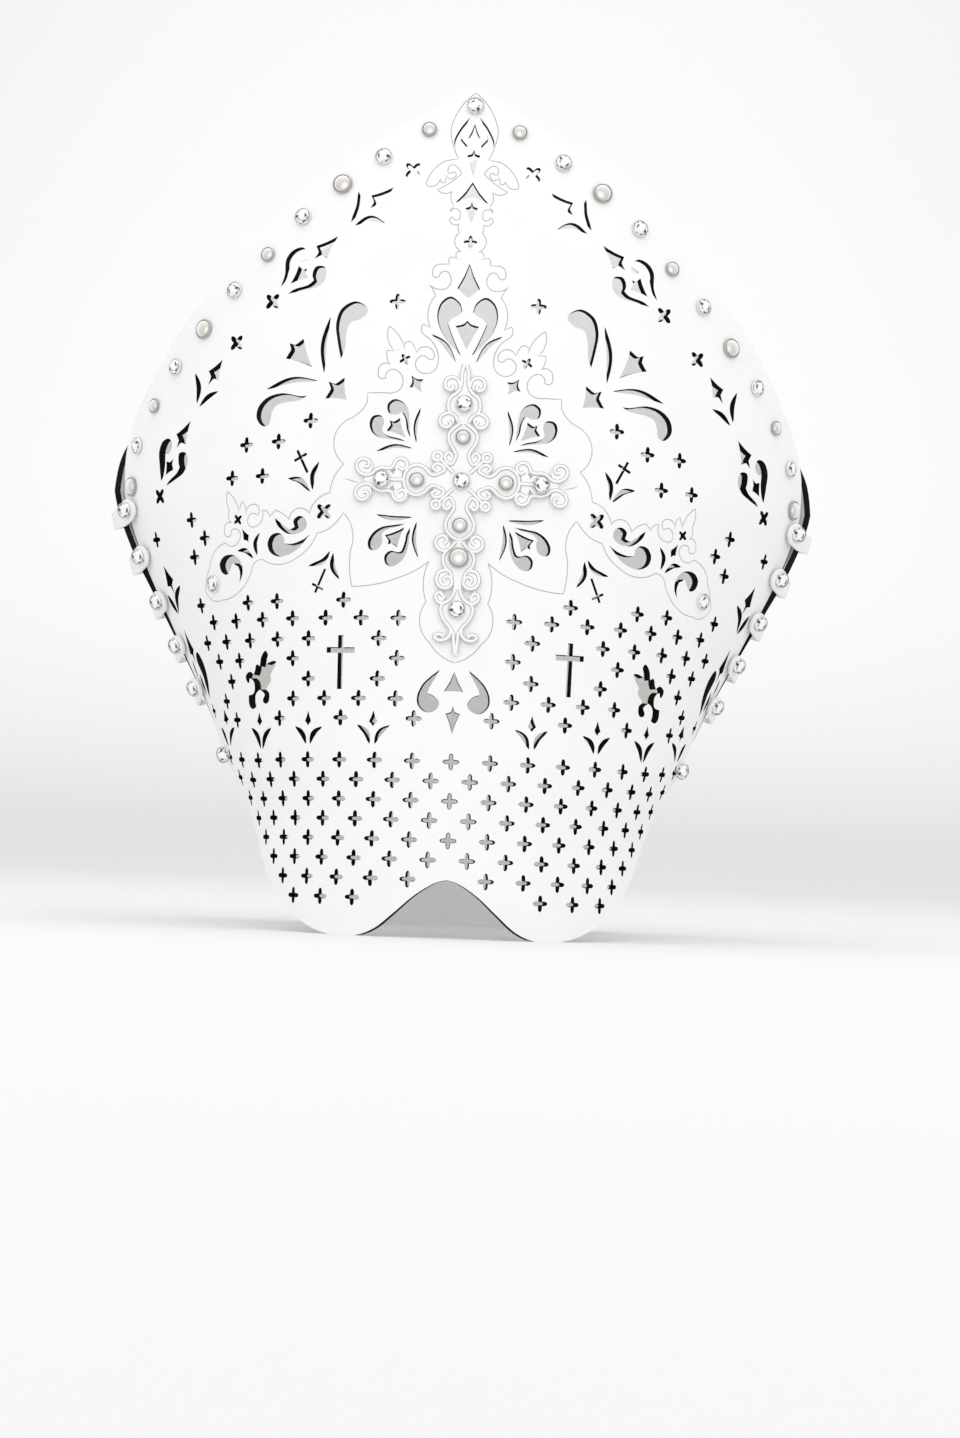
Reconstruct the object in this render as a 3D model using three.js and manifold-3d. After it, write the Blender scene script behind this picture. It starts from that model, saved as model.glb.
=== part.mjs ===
// A bishop's mitre of pierced white leather. Two bent panels meet in a side seam that five riveted
// tabs a side hold together. The front panel is pierced all over, and carries a raised cross and
// pearls and crystals along its rim.
//
// Millimetres, +Z up. The front faces -Y, and the lowest edges stand on z = 0. Sizes are taken from the
// front panel's seam plane, and the whole is then shifted so that the origin is the middle of its foot.
//
// A panel is laid out flat and then bent: "across" is the distance along the bent leather from its
// middle line, "up" is the height, and "out" is the distance in front of the leather's outer face.

import * as THREE from 'three';
import { mergeVertices } from 'three/addons/utils/BufferGeometryUtils.js';
import Module from 'manifold-3d';

const wasm = await Module();
wasm.setup();

// ---- Driving dimensions ----

const WALL = 3;
const CLEAR = 0.3;
const SEAM_GAP = 1.2;
const CUT_MARGIN = 1.5;
const SIDES = { pearl: 8, crystal: 6 };
const PEARL = { small: 3, large: 4 };
const CRYSTAL = 3.4;
const TAB = { thick: 1.2, wide: 4.2, seat: 0.8, point: 1.1, flare: 1.7, rivet: 2.7, sunk: 0.2 };
const STRIP = { thick: 1.2, wide: 8, low: 92, high: 176, inset: 0.9 };
const CROSS_THICK = 1.5;
const HEIGHT = 338.5;
const MIDDLE_SHIFT = 1.52;

// How the leather is bent: at each height the panel's middle stands "fore" mm before the seam plane,
// and its plan is an arc of the radius "bend".
const PLAN = [
  { up: 0, fore: 95.5, bend: 80 },
  { up: 38, fore: 92.4, bend: 82 },
  { up: 52, fore: 91.3, bend: 86 },
  { up: 68.5, fore: 90, bend: 95 },
  { up: 85, fore: 88.7, bend: 101.5 },
  { up: 120, fore: 86, bend: 123.5 },
  { up: 156, fore: 83, bend: 150.5 },
  { up: 178, fore: 81.3, bend: 163.5 },
  { up: HEIGHT, fore: 62, bend: 192 },
];

// The back panel stands wider than the front one beside the upper tabs.
const BACK_EASE = [
  { up: 0, extra: 0 },
  { up: 100, extra: 0.6 },
  { up: 130, extra: 2 },
  { up: 176, extra: 4.5 },
  { up: 215, extra: 0 },
  { up: HEIGHT, extra: 0 },
];

// Upper rim of both panels: an ogee that rises to a blunt point.
const RIM = [
  { across: 0, up: HEIGHT },
  { across: 5, up: 336 },
  { across: 14.5, up: 331 },
  { across: 22, up: 326 },
  { across: 29, up: 322 },
  { across: 48, up: 309 },
  { across: 62, up: 299 },
  { across: 81, up: 285.5 },
  { across: 96, up: 272 },
  { across: 115, up: 255 },
  { across: 131, up: 239.5 },
  { across: 147, up: 222 },
  { across: 156, up: 212 },
  { across: 163.5, up: 201.5 },
  { across: 168, up: 193 },
  { across: 170.6, up: 182 },
];

// Lower edge of the front panel: a notch in the middle, a lobe each side, a sweep up to the temple
// and then the side seam.
const FRONT_HEM = [
  { across: 0, up: 22.5 },
  { across: 4, up: 21.5 },
  { across: 12, up: 16.5 },
  { across: 20, up: 9.5 },
  { across: 28, up: 3 },
  { across: 36, up: 0 },
  { across: 48, up: 0 },
  { across: 61, up: 3.5 },
  { across: 73, up: 9.5 },
  { across: 87, up: 20 },
  { across: 104, up: 39 },
  { across: 118, up: 53 },
  { across: 130, up: 66 },
  { across: 145.5, up: 84 },
  { across: 151, up: 104 },
  { across: 156, up: 121 },
  { across: 161, up: 138 },
  { across: 166.5, up: 156 },
  { across: 170.6, up: 179 },
];

// Lower edge of the back panel: straight at the nape, then the same sweep up to the temple.
const BACK_HEM = [
  { across: 0, up: 0 },
  { across: 60, up: 0 },
  { across: 73, up: 6 },
  { across: 87, up: 18 },
  { across: 104, up: 37 },
  { across: 118, up: 52 },
  { across: 130, up: 66 },
  { across: 145.5, up: 84 },
  { across: 151, up: 104 },
  { across: 156, up: 121 },
  { across: 161, up: 138 },
  { across: 166.5, up: 156 },
  { across: 170.6, up: 179 },
];

const COLUMNS = [0, 5, 13, 24, 36, 48, 62, 76, 90, 104, 118, 131, 145.5, 153, 161, 166.5, 170.6];
const PANEL_SHARES = [0, 0.12, 0.22, 0.35, 0.52, 1];

// The raised cross, as its upper and lower edge from the middle line outwards.
const CROSS_TOP = [
  { across: 0, up: 227 },
  { across: 3.5, up: 223 },
  { across: 8.5, up: 216 },
  { across: 9.5, up: 207 },
  { across: 10, up: 186 },
  { across: 13, up: 184.5 },
  { across: 24, up: 184 },
  { across: 30, up: 187.5 },
  { across: 42, up: 185 },
  { across: 49, up: 179 },
];
const CROSS_LOW = [
  { across: 0, up: 109 },
  { across: 6.5, up: 117 },
  { across: 8, up: 126 },
  { across: 9, up: 140 },
  { across: 10, up: 170 },
  { across: 13, up: 171 },
  { across: 24, up: 172 },
  { across: 30, up: 168.5 },
  { across: 42, up: 171 },
  { across: 49, up: 177 },
];
const CROSS_COLUMNS = [0, 3.5, 6.5, 8.5, 10, 13, 24, 30, 42, 49];
const CROSS_SHARES = [0, 0.25, 0.5, 0.75, 1];

// ---- Pierced work ----
// Each table gives the openings right of the middle line; the left ones are mirrored.

// Commas: a round bulb and a tail that bows and tapers to its tip.
const COMMAS = [
  { across: 4, up: 314, tipAcross: 1.5, tipUp: 326, bulb: 1.8, bow: 3 },
  { across: 7.5, up: 246.5, tipAcross: 2, tipUp: 228, bulb: 3.6, bow: -3.4 },
  { across: 10, up: 91.5, tipAcross: 6.3, tipUp: 103.5, bulb: 3, bow: 3 },
  { across: 26, up: 206, tipAcross: 20.4, tipUp: 194.7, bulb: 2.7, bow: 2 },
  { across: 32.8, up: 200, tipAcross: 22.3, tipUp: 193.5, bulb: 2.8, bow: -2 },
  { across: 32.5, up: 153.5, tipAcross: 21.2, tipUp: 160.5, bulb: 2.8, bow: 2 },
  { across: 26, up: 147.5, tipAcross: 19.6, tipUp: 159, bulb: 2.7, bow: -2.8 },
  { across: 69, up: 269, tipAcross: 77, tipUp: 257.5, bulb: 2.5, bow: -2.3 },
  { across: 60.5, up: 261, tipAcross: 74, tipUp: 254, bulb: 2.8, bow: 1.8 },
  { across: 44.5, up: 245.5, tipAcross: 49.5, tipUp: 226.5, bulb: 3.2, bow: -3 },
  { across: 81.5, up: 205, tipAcross: 63.5, tipUp: 212, bulb: 2.9, bow: 3 },
  { across: 65, up: 160.5, tipAcross: 75.5, tipUp: 163.5, bulb: 2.7, bow: 3 },
  { across: 74, up: 153, tipAcross: 60, tipUp: 156, bulb: 3.2, bow: -2.8 },
  { across: 100, up: 146, tipAcross: 93.6, tipUp: 138, bulb: 2.7, bow: 3.8 },
  { across: 136.5, up: 194.5, tipAcross: 138.5, tipUp: 181.5, bulb: 2.1, bow: -2.8 },
  { across: 124.5, up: 189.5, tipAcross: 134, tipUp: 179, bulb: 2.3, bow: 2 },
];

// Blades: a leaf pointed at both ends, bowed to one side.
const BLADES = [
  { across: 14, up: 236.5, tipAcross: 3.9, tipUp: 225.5, wide: 2, bow: -1.4 },
  { across: 17, up: 207, tipAcross: 18, tipUp: 192.5, wide: 2, bow: 1.6 },
  { across: 34, up: 189.5, tipAcross: 20, tipUp: 190.5, wide: 2, bow: -1.4 },
  { across: 33, up: 164.5, tipAcross: 19, tipUp: 163, wide: 2, bow: 1 },
  { across: 17.4, up: 161.5, tipAcross: 16.2, tipUp: 147.5, wide: 2, bow: 1.2 },
  { across: 44.8, up: 295, tipAcross: 48, tipUp: 282.5, wide: 2.3, bow: -1.6 },
  { across: 46.7, up: 280.5, tipAcross: 33.5, tipUp: 282, wide: 2.3, bow: -2 },
  { across: 54.8, up: 244, tipAcross: 56.4, tipUp: 220.5, wide: 2.3, bow: 1.7 },
  { across: 82, up: 215, tipAcross: 59, tipUp: 218, wide: 2.2, bow: -2.4 },
  { across: 57, up: 185, tipAcross: 59.5, tipUp: 174, wide: 2.1, bow: 1.5 },
  { across: 70.5, up: 178.5, tipAcross: 61.2, tipUp: 173, wide: 2.2, bow: -1.8 },
  { across: 51.3, up: 149.5, tipAcross: 60, tipUp: 143.5, wide: 2.1, bow: -1.6 },
  { across: 49.6, up: 149, tipAcross: 47.3, tipUp: 138.5, wide: 2.2, bow: 1.4 },
  { across: 83, up: 158, tipAcross: 84.4, tipUp: 148.5, wide: 2, bow: 1.7 },
  { across: 94.4, up: 151, tipAcross: 86.5, tipUp: 147.3, wide: 2, bow: -1.6 },
  { across: 120, up: 225.5, tipAcross: 117, tipUp: 211.5, wide: 2.1, bow: -2.3 },
  { across: 116, up: 210, tipAcross: 104, tipUp: 215.5, wide: 2, bow: -1.4 },
  { across: 150, up: 136, tipAcross: 144.5, tipUp: 128.5, wide: 1.8, bow: -0.5 },
  { across: 136, up: 139, tipAcross: 143, tipUp: 129, wide: 1.8, bow: 2 },
  { across: 132.5, up: 111, tipAcross: 134.5, tipUp: 94, wide: 3.2, bow: -4 },
];

// Kites: four corners with hollow sides. "long" and "short" reach from the centre to the two tips,
// "wide" is the full width, and "turn" is the long tip's direction from straight up, outwards.
const SIDE_KITES = [
  { across: 28, up: 200.5, long: 8.5, short: 4, wide: 7, turn: -135 },
  { across: 26.5, up: 153.5, long: 7.5, short: 3, wide: 7.5, turn: -42 },
  { across: 68, up: 262.5, long: 6.5, short: 3.3, wide: 7.5, turn: 130 },
  { across: 60, up: 270, long: 10, short: 3, wide: 7.5, turn: -52 },
  { across: 38, up: 290.3, long: 9.8, short: 3, wide: 7.5, turn: -52 },
  { across: 69.5, up: 229.5, long: 10, short: 4.5, wide: 8, turn: -128 },
  { across: 52, up: 214.5, long: 8.2, short: 4.5, wide: 8, turn: -128 },
  { across: 19.3, up: 217, long: 4, short: 4, wide: 6, turn: -32 },
  { across: 89.6, up: 155.7, long: 3.8, short: 2.4, wide: 3, turn: 20 },
  { across: 110.3, up: 222.5, long: 8.5, short: 3.8, wide: 6, turn: -38 },
  { across: 126.5, up: 197.5, long: 9.2, short: 3.4, wide: 6.5, turn: -38 },
  { across: 132.2, up: 188.5, long: 6, short: 3, wide: 5, turn: 150 },
  { across: 144.2, up: 141.5, long: 6.5, short: 4.5, wide: 5.5, turn: 20 },
  { across: 138.3, up: 115, long: 6.5, short: 5, wide: 5.5, turn: 32 },
];
const AXIS_KITES = [
  { across: 0, up: 310, long: 8.5, short: 2.6, wide: 5.2, turn: 180 },
  { across: 0, up: 288.3, long: 6.3, short: 2.8, wide: 5, turn: 180 },
  { across: 0, up: 240.5, long: 10, short: 2.8, wide: 9, turn: 180 },
  { across: 0, up: 86.6, long: 7.8, short: 3.2, wide: 5.6, turn: 180 },
];

// Arrowheads on the middle line: a tip, two barbs and a hollow base.
const ARROWS = [
  { tip: 323.2, barb: 316.9, base: 318.5, wide: 5.6 },
  { tip: 299, barb: 290.3, base: 292.8, wide: 13.2 },
  { tip: 265.5, barb: 255.3, base: 251.5, wide: 9 },
  { tip: 103.3, barb: 95, base: 96, wide: 7.6 },
];

// Small upright crosses: a long stem and two short arms.
const CROSSLETS = [
  { across: 46, up: 110.5, top: 5.8, foot: 15.3, arm: 6, bar: 1.1, turn: 0 },
  { across: 65.7, up: 186.8, top: 3.2, foot: 7, arm: 3, bar: 0.8, turn: 28 },
  { across: 56.5, up: 136, top: 7, foot: 3, arm: 3, bar: 0.8, turn: -28 },
];
const LILY = { across: 85.5, up: 97, half: 9, tall: 22 };

// ---- Stones, right of the middle line and on it ----

const RIM_STONES = [
  { across: 0, up: 330.5, kind: 'crystal' },
  { across: 18, up: 320.3, kind: 'small' },
  { across: 36, up: 309, kind: 'crystal' },
  { across: 52.5, up: 298, kind: 'large' },
  { across: 69, up: 285, kind: 'crystal' },
  { across: 84, up: 270.2, kind: 'small' },
  { across: 99.5, up: 256.4, kind: 'crystal' },
  { across: 114.7, up: 241.4, kind: 'large' },
  { across: 130.5, up: 227, kind: 'crystal' },
  { across: 144, up: 212, kind: 'small' },
  { across: 157, up: 196.5, kind: 'crystal' },
  { across: 163, up: 180, kind: 'large' },
];
const PANEL_STONES = [
  { name: 'arm_crystal', across: 110, up: 137.6, kind: 'crystal' },
  { name: 'temple_crystal', across: 125.5, up: 70, kind: 'crystal' },
];
const CROSS_STONES = [
  { across: 0, up: 208.4, kind: 'crystal' },
  { across: 0, up: 195.2, kind: 'small' },
  { across: 0, up: 177.7, kind: 'crystal' },
  { across: 0, up: 160.3, kind: 'small' },
  { across: 0, up: 147.6, kind: 'large' },
  { across: 0, up: 127.2, kind: 'crystal' },
  { across: 17.3, up: 177.7, kind: 'small' },
  { across: 31, up: 177.7, kind: 'crystal' },
];

// Tabs, from the top down: the height of each rivet.
const TABS = [170.5, 151.5, 133, 115, 97.5];

// ---- The bent sheet ----

function lookUp(rows, key, at, value) {
  let i = 1;
  while (i < rows.length - 1 && rows[i][key] < at) i += 1;
  const low = rows[i - 1];
  const high = rows[i];
  const share = THREE.MathUtils.clamp((at - low[key]) / (high[key] - low[key]), 0, 1);
  return THREE.MathUtils.lerp(low[value], high[value], share);
}

function frontPoint(across, up, out) {
  const bend = lookUp(PLAN, 'up', up, 'bend');
  const fore = lookUp(PLAN, 'up', up, 'fore');
  const angle = across / bend;
  const reach = bend + out;
  return new THREE.Vector3(reach * Math.sin(angle), bend - fore - reach * Math.cos(angle), up);
}

function backPoint(across, up, out) {
  const point = frontPoint(across, up, out);
  const extra = lookUp(BACK_EASE, 'up', up, 'extra');
  const spread = 1 + extra / 142;
  return new THREE.Vector3(-point.x * spread, SEAM_GAP - point.y, up);
}

// How far across the leather the side seam lies at a height.
function seamAt(up) {
  return lookUp(FRONT_HEM.slice(-6), 'up', up, 'across');
}

// ---- Closed bodies ----

function solid(geometry) {
  const bare = geometry.clone();
  bare.deleteAttribute('normal');
  bare.deleteAttribute('uv');
  const merged = mergeVertices(bare, 1e-4);
  return new wasm.Manifold(new wasm.Mesh({
    numProp: 3,
    vertProperties: new Float32Array(merged.attributes.position.array),
    triVerts: new Uint32Array(merged.index.array),
  }));
}

function geometryOf(body) {
  const { vertProperties, triVerts } = body.getMesh();
  const geometry = new THREE.BufferGeometry();
  geometry.setAttribute('position', new THREE.BufferAttribute(new Float32Array(vertProperties), 3));
  geometry.setIndex(Array.from(triVerts));
  return geometry;
}

function facets(points, faces) {
  const geometry = new THREE.BufferGeometry();
  geometry.setAttribute('position', new THREE.Float32BufferAttribute(points.flatMap((p) => p.toArray()), 3));
  geometry.setIndex(faces.flat());
  return geometry;
}

// A wall lofted from column to column of a bent sheet, each column running from its lower edge to
// its upper edge, between the two distances "inner" and "outer" in front of the leather's face. The
// facets break at the given shares of each column's height.
function wall({ columns, shares, low, top, inner, outer, place }) {
  const points = [];
  const faces = [];
  columns.forEach((across) => {
    const foot = lookUp(low, 'across', Math.abs(across), 'up');
    const head = lookUp(top, 'across', Math.abs(across), 'up');
    shares.forEach((share) => {
      const up = THREE.MathUtils.lerp(foot, head, share);
      points.push(place(across, up, outer), place(across, up, inner));
    });
  });
  const rows = shares.length - 1;
  const at = (column, row, side) => 2 * (column * (rows + 1) + row) + side;
  const quad = (a, b, c, d) => faces.push([a, b, c], [a, c, d]);
  const last = columns.length - 1;
  for (let i = 0; i < last; i += 1) {
    for (let j = 0; j < rows; j += 1) {
      quad(at(i, j, 0), at(i + 1, j, 0), at(i + 1, j + 1, 0), at(i, j + 1, 0));
      quad(at(i, j, 1), at(i, j + 1, 1), at(i + 1, j + 1, 1), at(i + 1, j, 1));
    }
    quad(at(i, 0, 0), at(i, 0, 1), at(i + 1, 0, 1), at(i + 1, 0, 0));
    quad(at(i, rows, 0), at(i + 1, rows, 0), at(i + 1, rows, 1), at(i, rows, 1));
  }
  for (let j = 0; j < rows; j += 1) {
    quad(at(0, j, 0), at(0, j + 1, 0), at(0, j + 1, 1), at(0, j, 1));
    quad(at(last, j, 0), at(last, j, 1), at(last, j + 1, 1), at(last, j + 1, 0));
  }
  return facets(points, faces);
}

// Both halves of a list of distances from the middle line, in order from left to right.
function bothSides(distances) {
  return [...distances.slice(1).reverse().map((d) => -d), ...distances];
}

// A prism through the front panel on a flat outline of (across, up) points, square to the leather
// at the outline's middle.
function cutter(outline) {
  const flat = THREE.ShapeUtils.isClockWise(outline) ? [...outline].reverse() : outline;
  const count = flat.length;
  const middle = new THREE.Box2().setFromPoints(flat).getCenter(new THREE.Vector2());
  const foot = frontPoint(middle.x, middle.y, 0);
  const normal = frontPoint(middle.x, middle.y, 1).sub(foot);
  const cap = (lift) => flat.map((p) => frontPoint(p.x, p.y, 0).addScaledVector(normal, lift));
  const points = [...cap(CUT_MARGIN), ...cap(-WALL - CUT_MARGIN)];
  const caps = THREE.ShapeUtils.triangulateShape(flat, []);
  const faces = caps.flatMap(([a, b, c]) => [[a, b, c], [count + a, count + c, count + b]]);
  for (let i = 0; i < count; i += 1) {
    const next = (i + 1) % count;
    faces.push([i, count + i, count + next], [i, count + next, next]);
  }
  return solid(facets(points, faces));
}

// ---- Outlines of the openings ----

const point = (x, y) => new THREE.Vector2(x, y);

function bowedSpine(from, to, bow) {
  const along = to.clone().sub(from);
  const side = point(-along.y, along.x).normalize();
  const middle = from.clone().lerp(to, 0.5).addScaledVector(side, 2 * bow);
  return new THREE.QuadraticBezierCurve(from, middle, to);
}

function offset(spine, share, distance) {
  const along = spine.getTangent(share);
  return spine.getPoint(share).addScaledVector(point(-along.y, along.x), distance);
}

function commaOutline({ across, up, tipAcross, tipUp, bulb, bow }) {
  const spine = bowedSpine(point(tipAcross, tipUp), point(across, up), bow);
  const tail = [{ share: 0.5, half: 0.6 * bulb }];
  const left = tail.map(({ share, half }) => offset(spine, share, half));
  const right = tail.map(({ share, half }) => offset(spine, share, -half)).reverse();
  const end = spine.getTangent(1).angle();
  const round = [90, 30, -30, -90].map((degrees) => {
    const angle = end + THREE.MathUtils.degToRad(degrees);
    return point(across + bulb * Math.cos(angle), up + bulb * Math.sin(angle));
  });
  return [point(tipAcross, tipUp), ...left, ...round, ...right].reverse();
}

function bladeOutline({ across, up, tipAcross, tipUp, wide, bow }) {
  const from = point(across, up);
  const to = point(tipAcross, tipUp);
  const spine = bowedSpine(from, to, bow);
  return [from, offset(spine, 0.5, wide / 2), to, offset(spine, 0.5, -wide / 2)];
}

function turned(corners, across, up, turn) {
  const angle = -THREE.MathUtils.degToRad(turn);
  return corners.map((corner) => corner.rotateAround(point(0, 0), angle).add(point(across, up)));
}

function kiteOutline({ across, up, long, short, wide, turn }) {
  const tips = [point(0, long), point(-wide / 2, 0), point(0, -short), point(wide / 2, 0)];
  const hollow = 0.36;
  const corners = tips.flatMap((tip, i) => {
    const next = tips[(i + 1) % tips.length];
    return [tip, tip.clone().add(next).multiplyScalar(hollow)];
  });
  return turned(corners, across, up, turn);
}

function arrowOutline({ tip, barb, base, wide }) {
  return [point(0, tip), point(-wide / 2, barb), point(0, base), point(wide / 2, barb)];
}

function crossletOutline({ across, up, top, foot, arm, bar, turn }) {
  const corners = [
    point(bar, bar), point(bar, top), point(-bar, top), point(-bar, bar), point(-arm, bar), point(-arm, -bar),
    point(-bar, -bar), point(-bar, -foot), point(bar, -foot), point(bar, -bar), point(arm, -bar), point(arm, bar),
  ];
  return turned(corners, across, up, turn);
}

// A lily of one tall leaf, two curled side leaves, and a spread foot.
function lilyOutline({ across, up, half, tall }) {
  const rows = [
    [0, 0.6], [0.36, 0.2], [0.22, -0.02], [0.6, 0.24], [1, 0.02], [0.8, -0.16], [0.34, -0.14], [0.6, -0.4], [0, -0.28],
  ];
  const right = rows.map(([x, y]) => point(x * half, y * tall));
  const left = rows.slice(1, -1).reverse().map(([x, y]) => point(-x * half, y * tall));
  return turned([...right, ...left], across, up, 0);
}

function mirrored(outline) {
  return outline.map((p) => point(-p.x, p.y));
}

function openings() {
  const sides = [
    ...COMMAS.map(commaOutline),
    ...BLADES.map(bladeOutline),
    ...SIDE_KITES.map(kiteOutline),
    ...CROSSLETS.map(crossletOutline),
    lilyOutline(LILY),
  ];
  return [...sides, ...sides.map(mirrored), ...AXIS_KITES.map(kiteOutline), ...ARROWS.map(arrowOutline)];
}

// ---- Materials ----

const material = (color, roughness, metalness) => new THREE.MeshStandardMaterial({ color, roughness, metalness });
const leather = material(0xf3f1ee, 0.5, 0);
const plainLeather = material(0xe9e6e2, 0.55, 0);
const tanLeather = material(0xb98d62, 0.6, 0);
const pearl = material(0xf4ecd8, 0.25, 0);
const crystal = material(0xdfe4ea, 0.1, 0.1);

const mitre = new THREE.Group();
mitre.position.y = -MIDDLE_SHIFT;

function addPiece(name, geometry, finish) {
  const mesh = new THREE.Mesh(geometry, finish);
  mesh.name = name;
  mitre.add(mesh);
}

// ---- Pieces ----

function frontPanel() {
  const blank = wall({
    columns: bothSides(COLUMNS), shares: PANEL_SHARES, low: FRONT_HEM, top: RIM, inner: -WALL, outer: 0, place: frontPoint,
  });
  return geometryOf(openings().reduce((body, outline) => body.subtract(cutter(outline)), solid(blank)));
}

function backPanel() {
  return wall({
    columns: bothSides(COLUMNS), shares: PANEL_SHARES, low: BACK_HEM, top: RIM, inner: -WALL, outer: 0, place: backPoint,
  });
}

function crossPlate() {
  return wall({
    columns: bothSides(CROSS_COLUMNS),
    shares: CROSS_SHARES,
    low: CROSS_LOW,
    top: CROSS_TOP,
    inner: CLEAR,
    outer: CLEAR + CROSS_THICK,
    place: frontPoint,
  });
}

// A pearl is a ball on a small cup, and a crystal a faceted dome on one. Both stand along +Z here.
function stoneGeometry(kind) {
  const isPearl = kind !== 'crystal';
  const radius = isPearl ? PEARL[kind] : CRYSTAL;
  const profile = isPearl
    ? [[0, 0], [0.8 * radius, 0], [radius, 0.45 * radius], [0.72 * radius, 1.2 * radius], [0, 1.5 * radius]]
    : [[0, 0], [radius, 0], [radius, 1], [0.6 * radius, 2.2], [0, 2.2]];
  const sides = isPearl ? SIDES.pearl : SIDES.crystal;
  const geometry = new THREE.LatheGeometry(profile.map(([x, y]) => point(x, y)), sides);
  geometry.rotateX(Math.PI / 2);
  return geometry;
}

// Stands a stone on the front panel, "out" mm before the leather.
function seatStone(geometry, across, up, out) {
  const base = frontPoint(across, up, out);
  const along = frontPoint(across + 1, up, out).sub(base);
  const rise = frontPoint(across, up + 1, out).sub(base);
  const turn = new THREE.Quaternion().setFromUnitVectors(new THREE.Vector3(0, 0, 1), along.cross(rise).normalize());
  return geometry.applyQuaternion(turn).translate(base.x, base.y, base.z);
}

function addStones(prefix, stones, out) {
  stones.forEach(({ name, across, up, kind }, index) => {
    const finish = kind === 'crystal' ? crystal : pearl;
    const title = name ?? `${prefix}_${kind === 'crystal' ? 'crystal' : 'pearl'}_${index + 1}`;
    const sides = across === 0 ? [['', 0]] : [['_left', -across], ['_right', across]];
    sides.forEach(([side, at]) => addPiece(`${title}${side}`, seatStone(stoneGeometry(kind), at, up, out), finish));
  });
}

// A band through a row of cross-sections, each with a centre, a half width along its own side
// direction and a thickness along its own outward direction.
function band(sections) {
  const points = sections.flatMap(({ centre, side, half, outward, thick }) => {
    const reach = side.clone().multiplyScalar(half);
    const lift = outward.clone().multiplyScalar(thick);
    const low = centre.clone().sub(reach);
    const high = centre.clone().add(reach);
    return [low, high, high.clone().add(lift), low.clone().add(lift)];
  });
  const faces = [[0, 2, 1], [0, 3, 2]];
  for (let i = 0; i + 1 < sections.length; i += 1) {
    for (let edge = 0; edge < 4; edge += 1) {
      const a = 4 * i + edge;
      const b = 4 * i + ((edge + 1) % 4);
      faces.push([a, b + 4, a + 4], [a, b, b + 4]);
    }
  }
  const end = 4 * (sections.length - 1);
  faces.push([end, end + 1, end + 2], [end, end + 2, end + 3]);
  return facets(points, faces);
}

// A tab's rounded head lies on the front panel's edge round its rivet, and its point reaches down
// over the seam on to the back panel.
function tabGeometry(up) {
  const edge = seamAt(up);
  const section = (place, across, drop, half, seat = TAB.seat) => {
    const centre = place(across, up - drop, seat);
    const outward = place(across, up - drop, seat + 1).sub(centre);
    const side = place(across, up - drop + 1, seat).sub(centre).normalize();
    return { centre, side, half, outward, thick: TAB.thick };
  };
  const brow = section(frontPoint, edge - 2, 2, TAB.wide - 0.4);
  const nape = section(backPoint, 4 - edge, 7, 0.8, TAB.point);
  const ridge = {
    centre: backPoint(-seamAt(up - 5), up - 5, TAB.flare),
    side: brow.side,
    half: TAB.wide - 1.4,
    outward: brow.outward.clone().add(nape.outward).normalize(),
    thick: TAB.thick,
  };
  return band([
    section(frontPoint, edge - 8.6, 0, 1.6),
    section(frontPoint, edge - 7.4, 0.2, 3.4),
    section(frontPoint, edge - 5, 0.6, TAB.wide),
    brow,
    ridge,
    nape,
  ]);
}

function addTabs() {
  TABS.forEach((up, index) => {
    const edge = seamAt(up);
    const rivet = new THREE.LatheGeometry(
      [point(0, 0), point(TAB.rivet, 0), point(TAB.rivet, 1.2), point(0.6 * TAB.rivet, 2.2), point(0, 2.2)],
      SIDES.crystal,
    ).rotateX(Math.PI / 2);
    const seated = seatStone(rivet, edge - 5, up - 0.5, TAB.seat + TAB.thick - TAB.sunk);
    const right = geometryOf(solid(tabGeometry(up)).add(solid(seated)));
    const left = geometryOf(solid(right.clone()).mirror([1, 0, 0]));
    addPiece(`tab_right_${index + 1}`, right, leather);
    addPiece(`tab_left_${index + 1}`, left, leather);
  });
}

// The tan strip that backs a seam on the inside, bent round the corner between the two panels.
function stripGeometry(mirror) {
  const heights = [STRIP.low, 120, 148, STRIP.high];
  const points = heights.flatMap((up) => {
    const edge = seamAt(up);
    const depth = -WALL - STRIP.inset;
    const front = frontPoint(edge - STRIP.wide, up, depth);
    const back = backPoint(-edge + STRIP.wide, up, depth);
    const crest = frontPoint(edge, up, depth - 0.6);
    crest.y = SEAM_GAP / 2;
    crest.x = Math.min(crest.x, backPoint(-edge, up, depth - 0.6).x);
    const inset = (p) => new THREE.Vector3(p.x - STRIP.thick, p.y, p.z);
    return [front, crest, back, inset(back), inset(crest), inset(front)].map((p) => {
      return new THREE.Vector3(mirror * p.x, p.y, p.z);
    });
  });
  const ring = 6;
  const faces = [];
  for (let i = 0; i + 1 < heights.length; i += 1) {
    for (let edge = 0; edge < ring; edge += 1) {
      const a = ring * i + edge;
      const b = ring * i + ((edge + 1) % ring);
      faces.push([a, b, b + ring], [a, b + ring, a + ring]);
    }
  }
  const caps = [[0, 5, 1], [5, 4, 1], [4, 3, 1], [3, 2, 1]];
  const end = ring * (heights.length - 1);
  faces.push(...caps, ...caps.map(([a, b, c]) => [end + a, end + c, end + b]));
  return facets(points, mirror > 0 ? faces : faces.map(([a, b, c]) => [a, c, b]));
}

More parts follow.
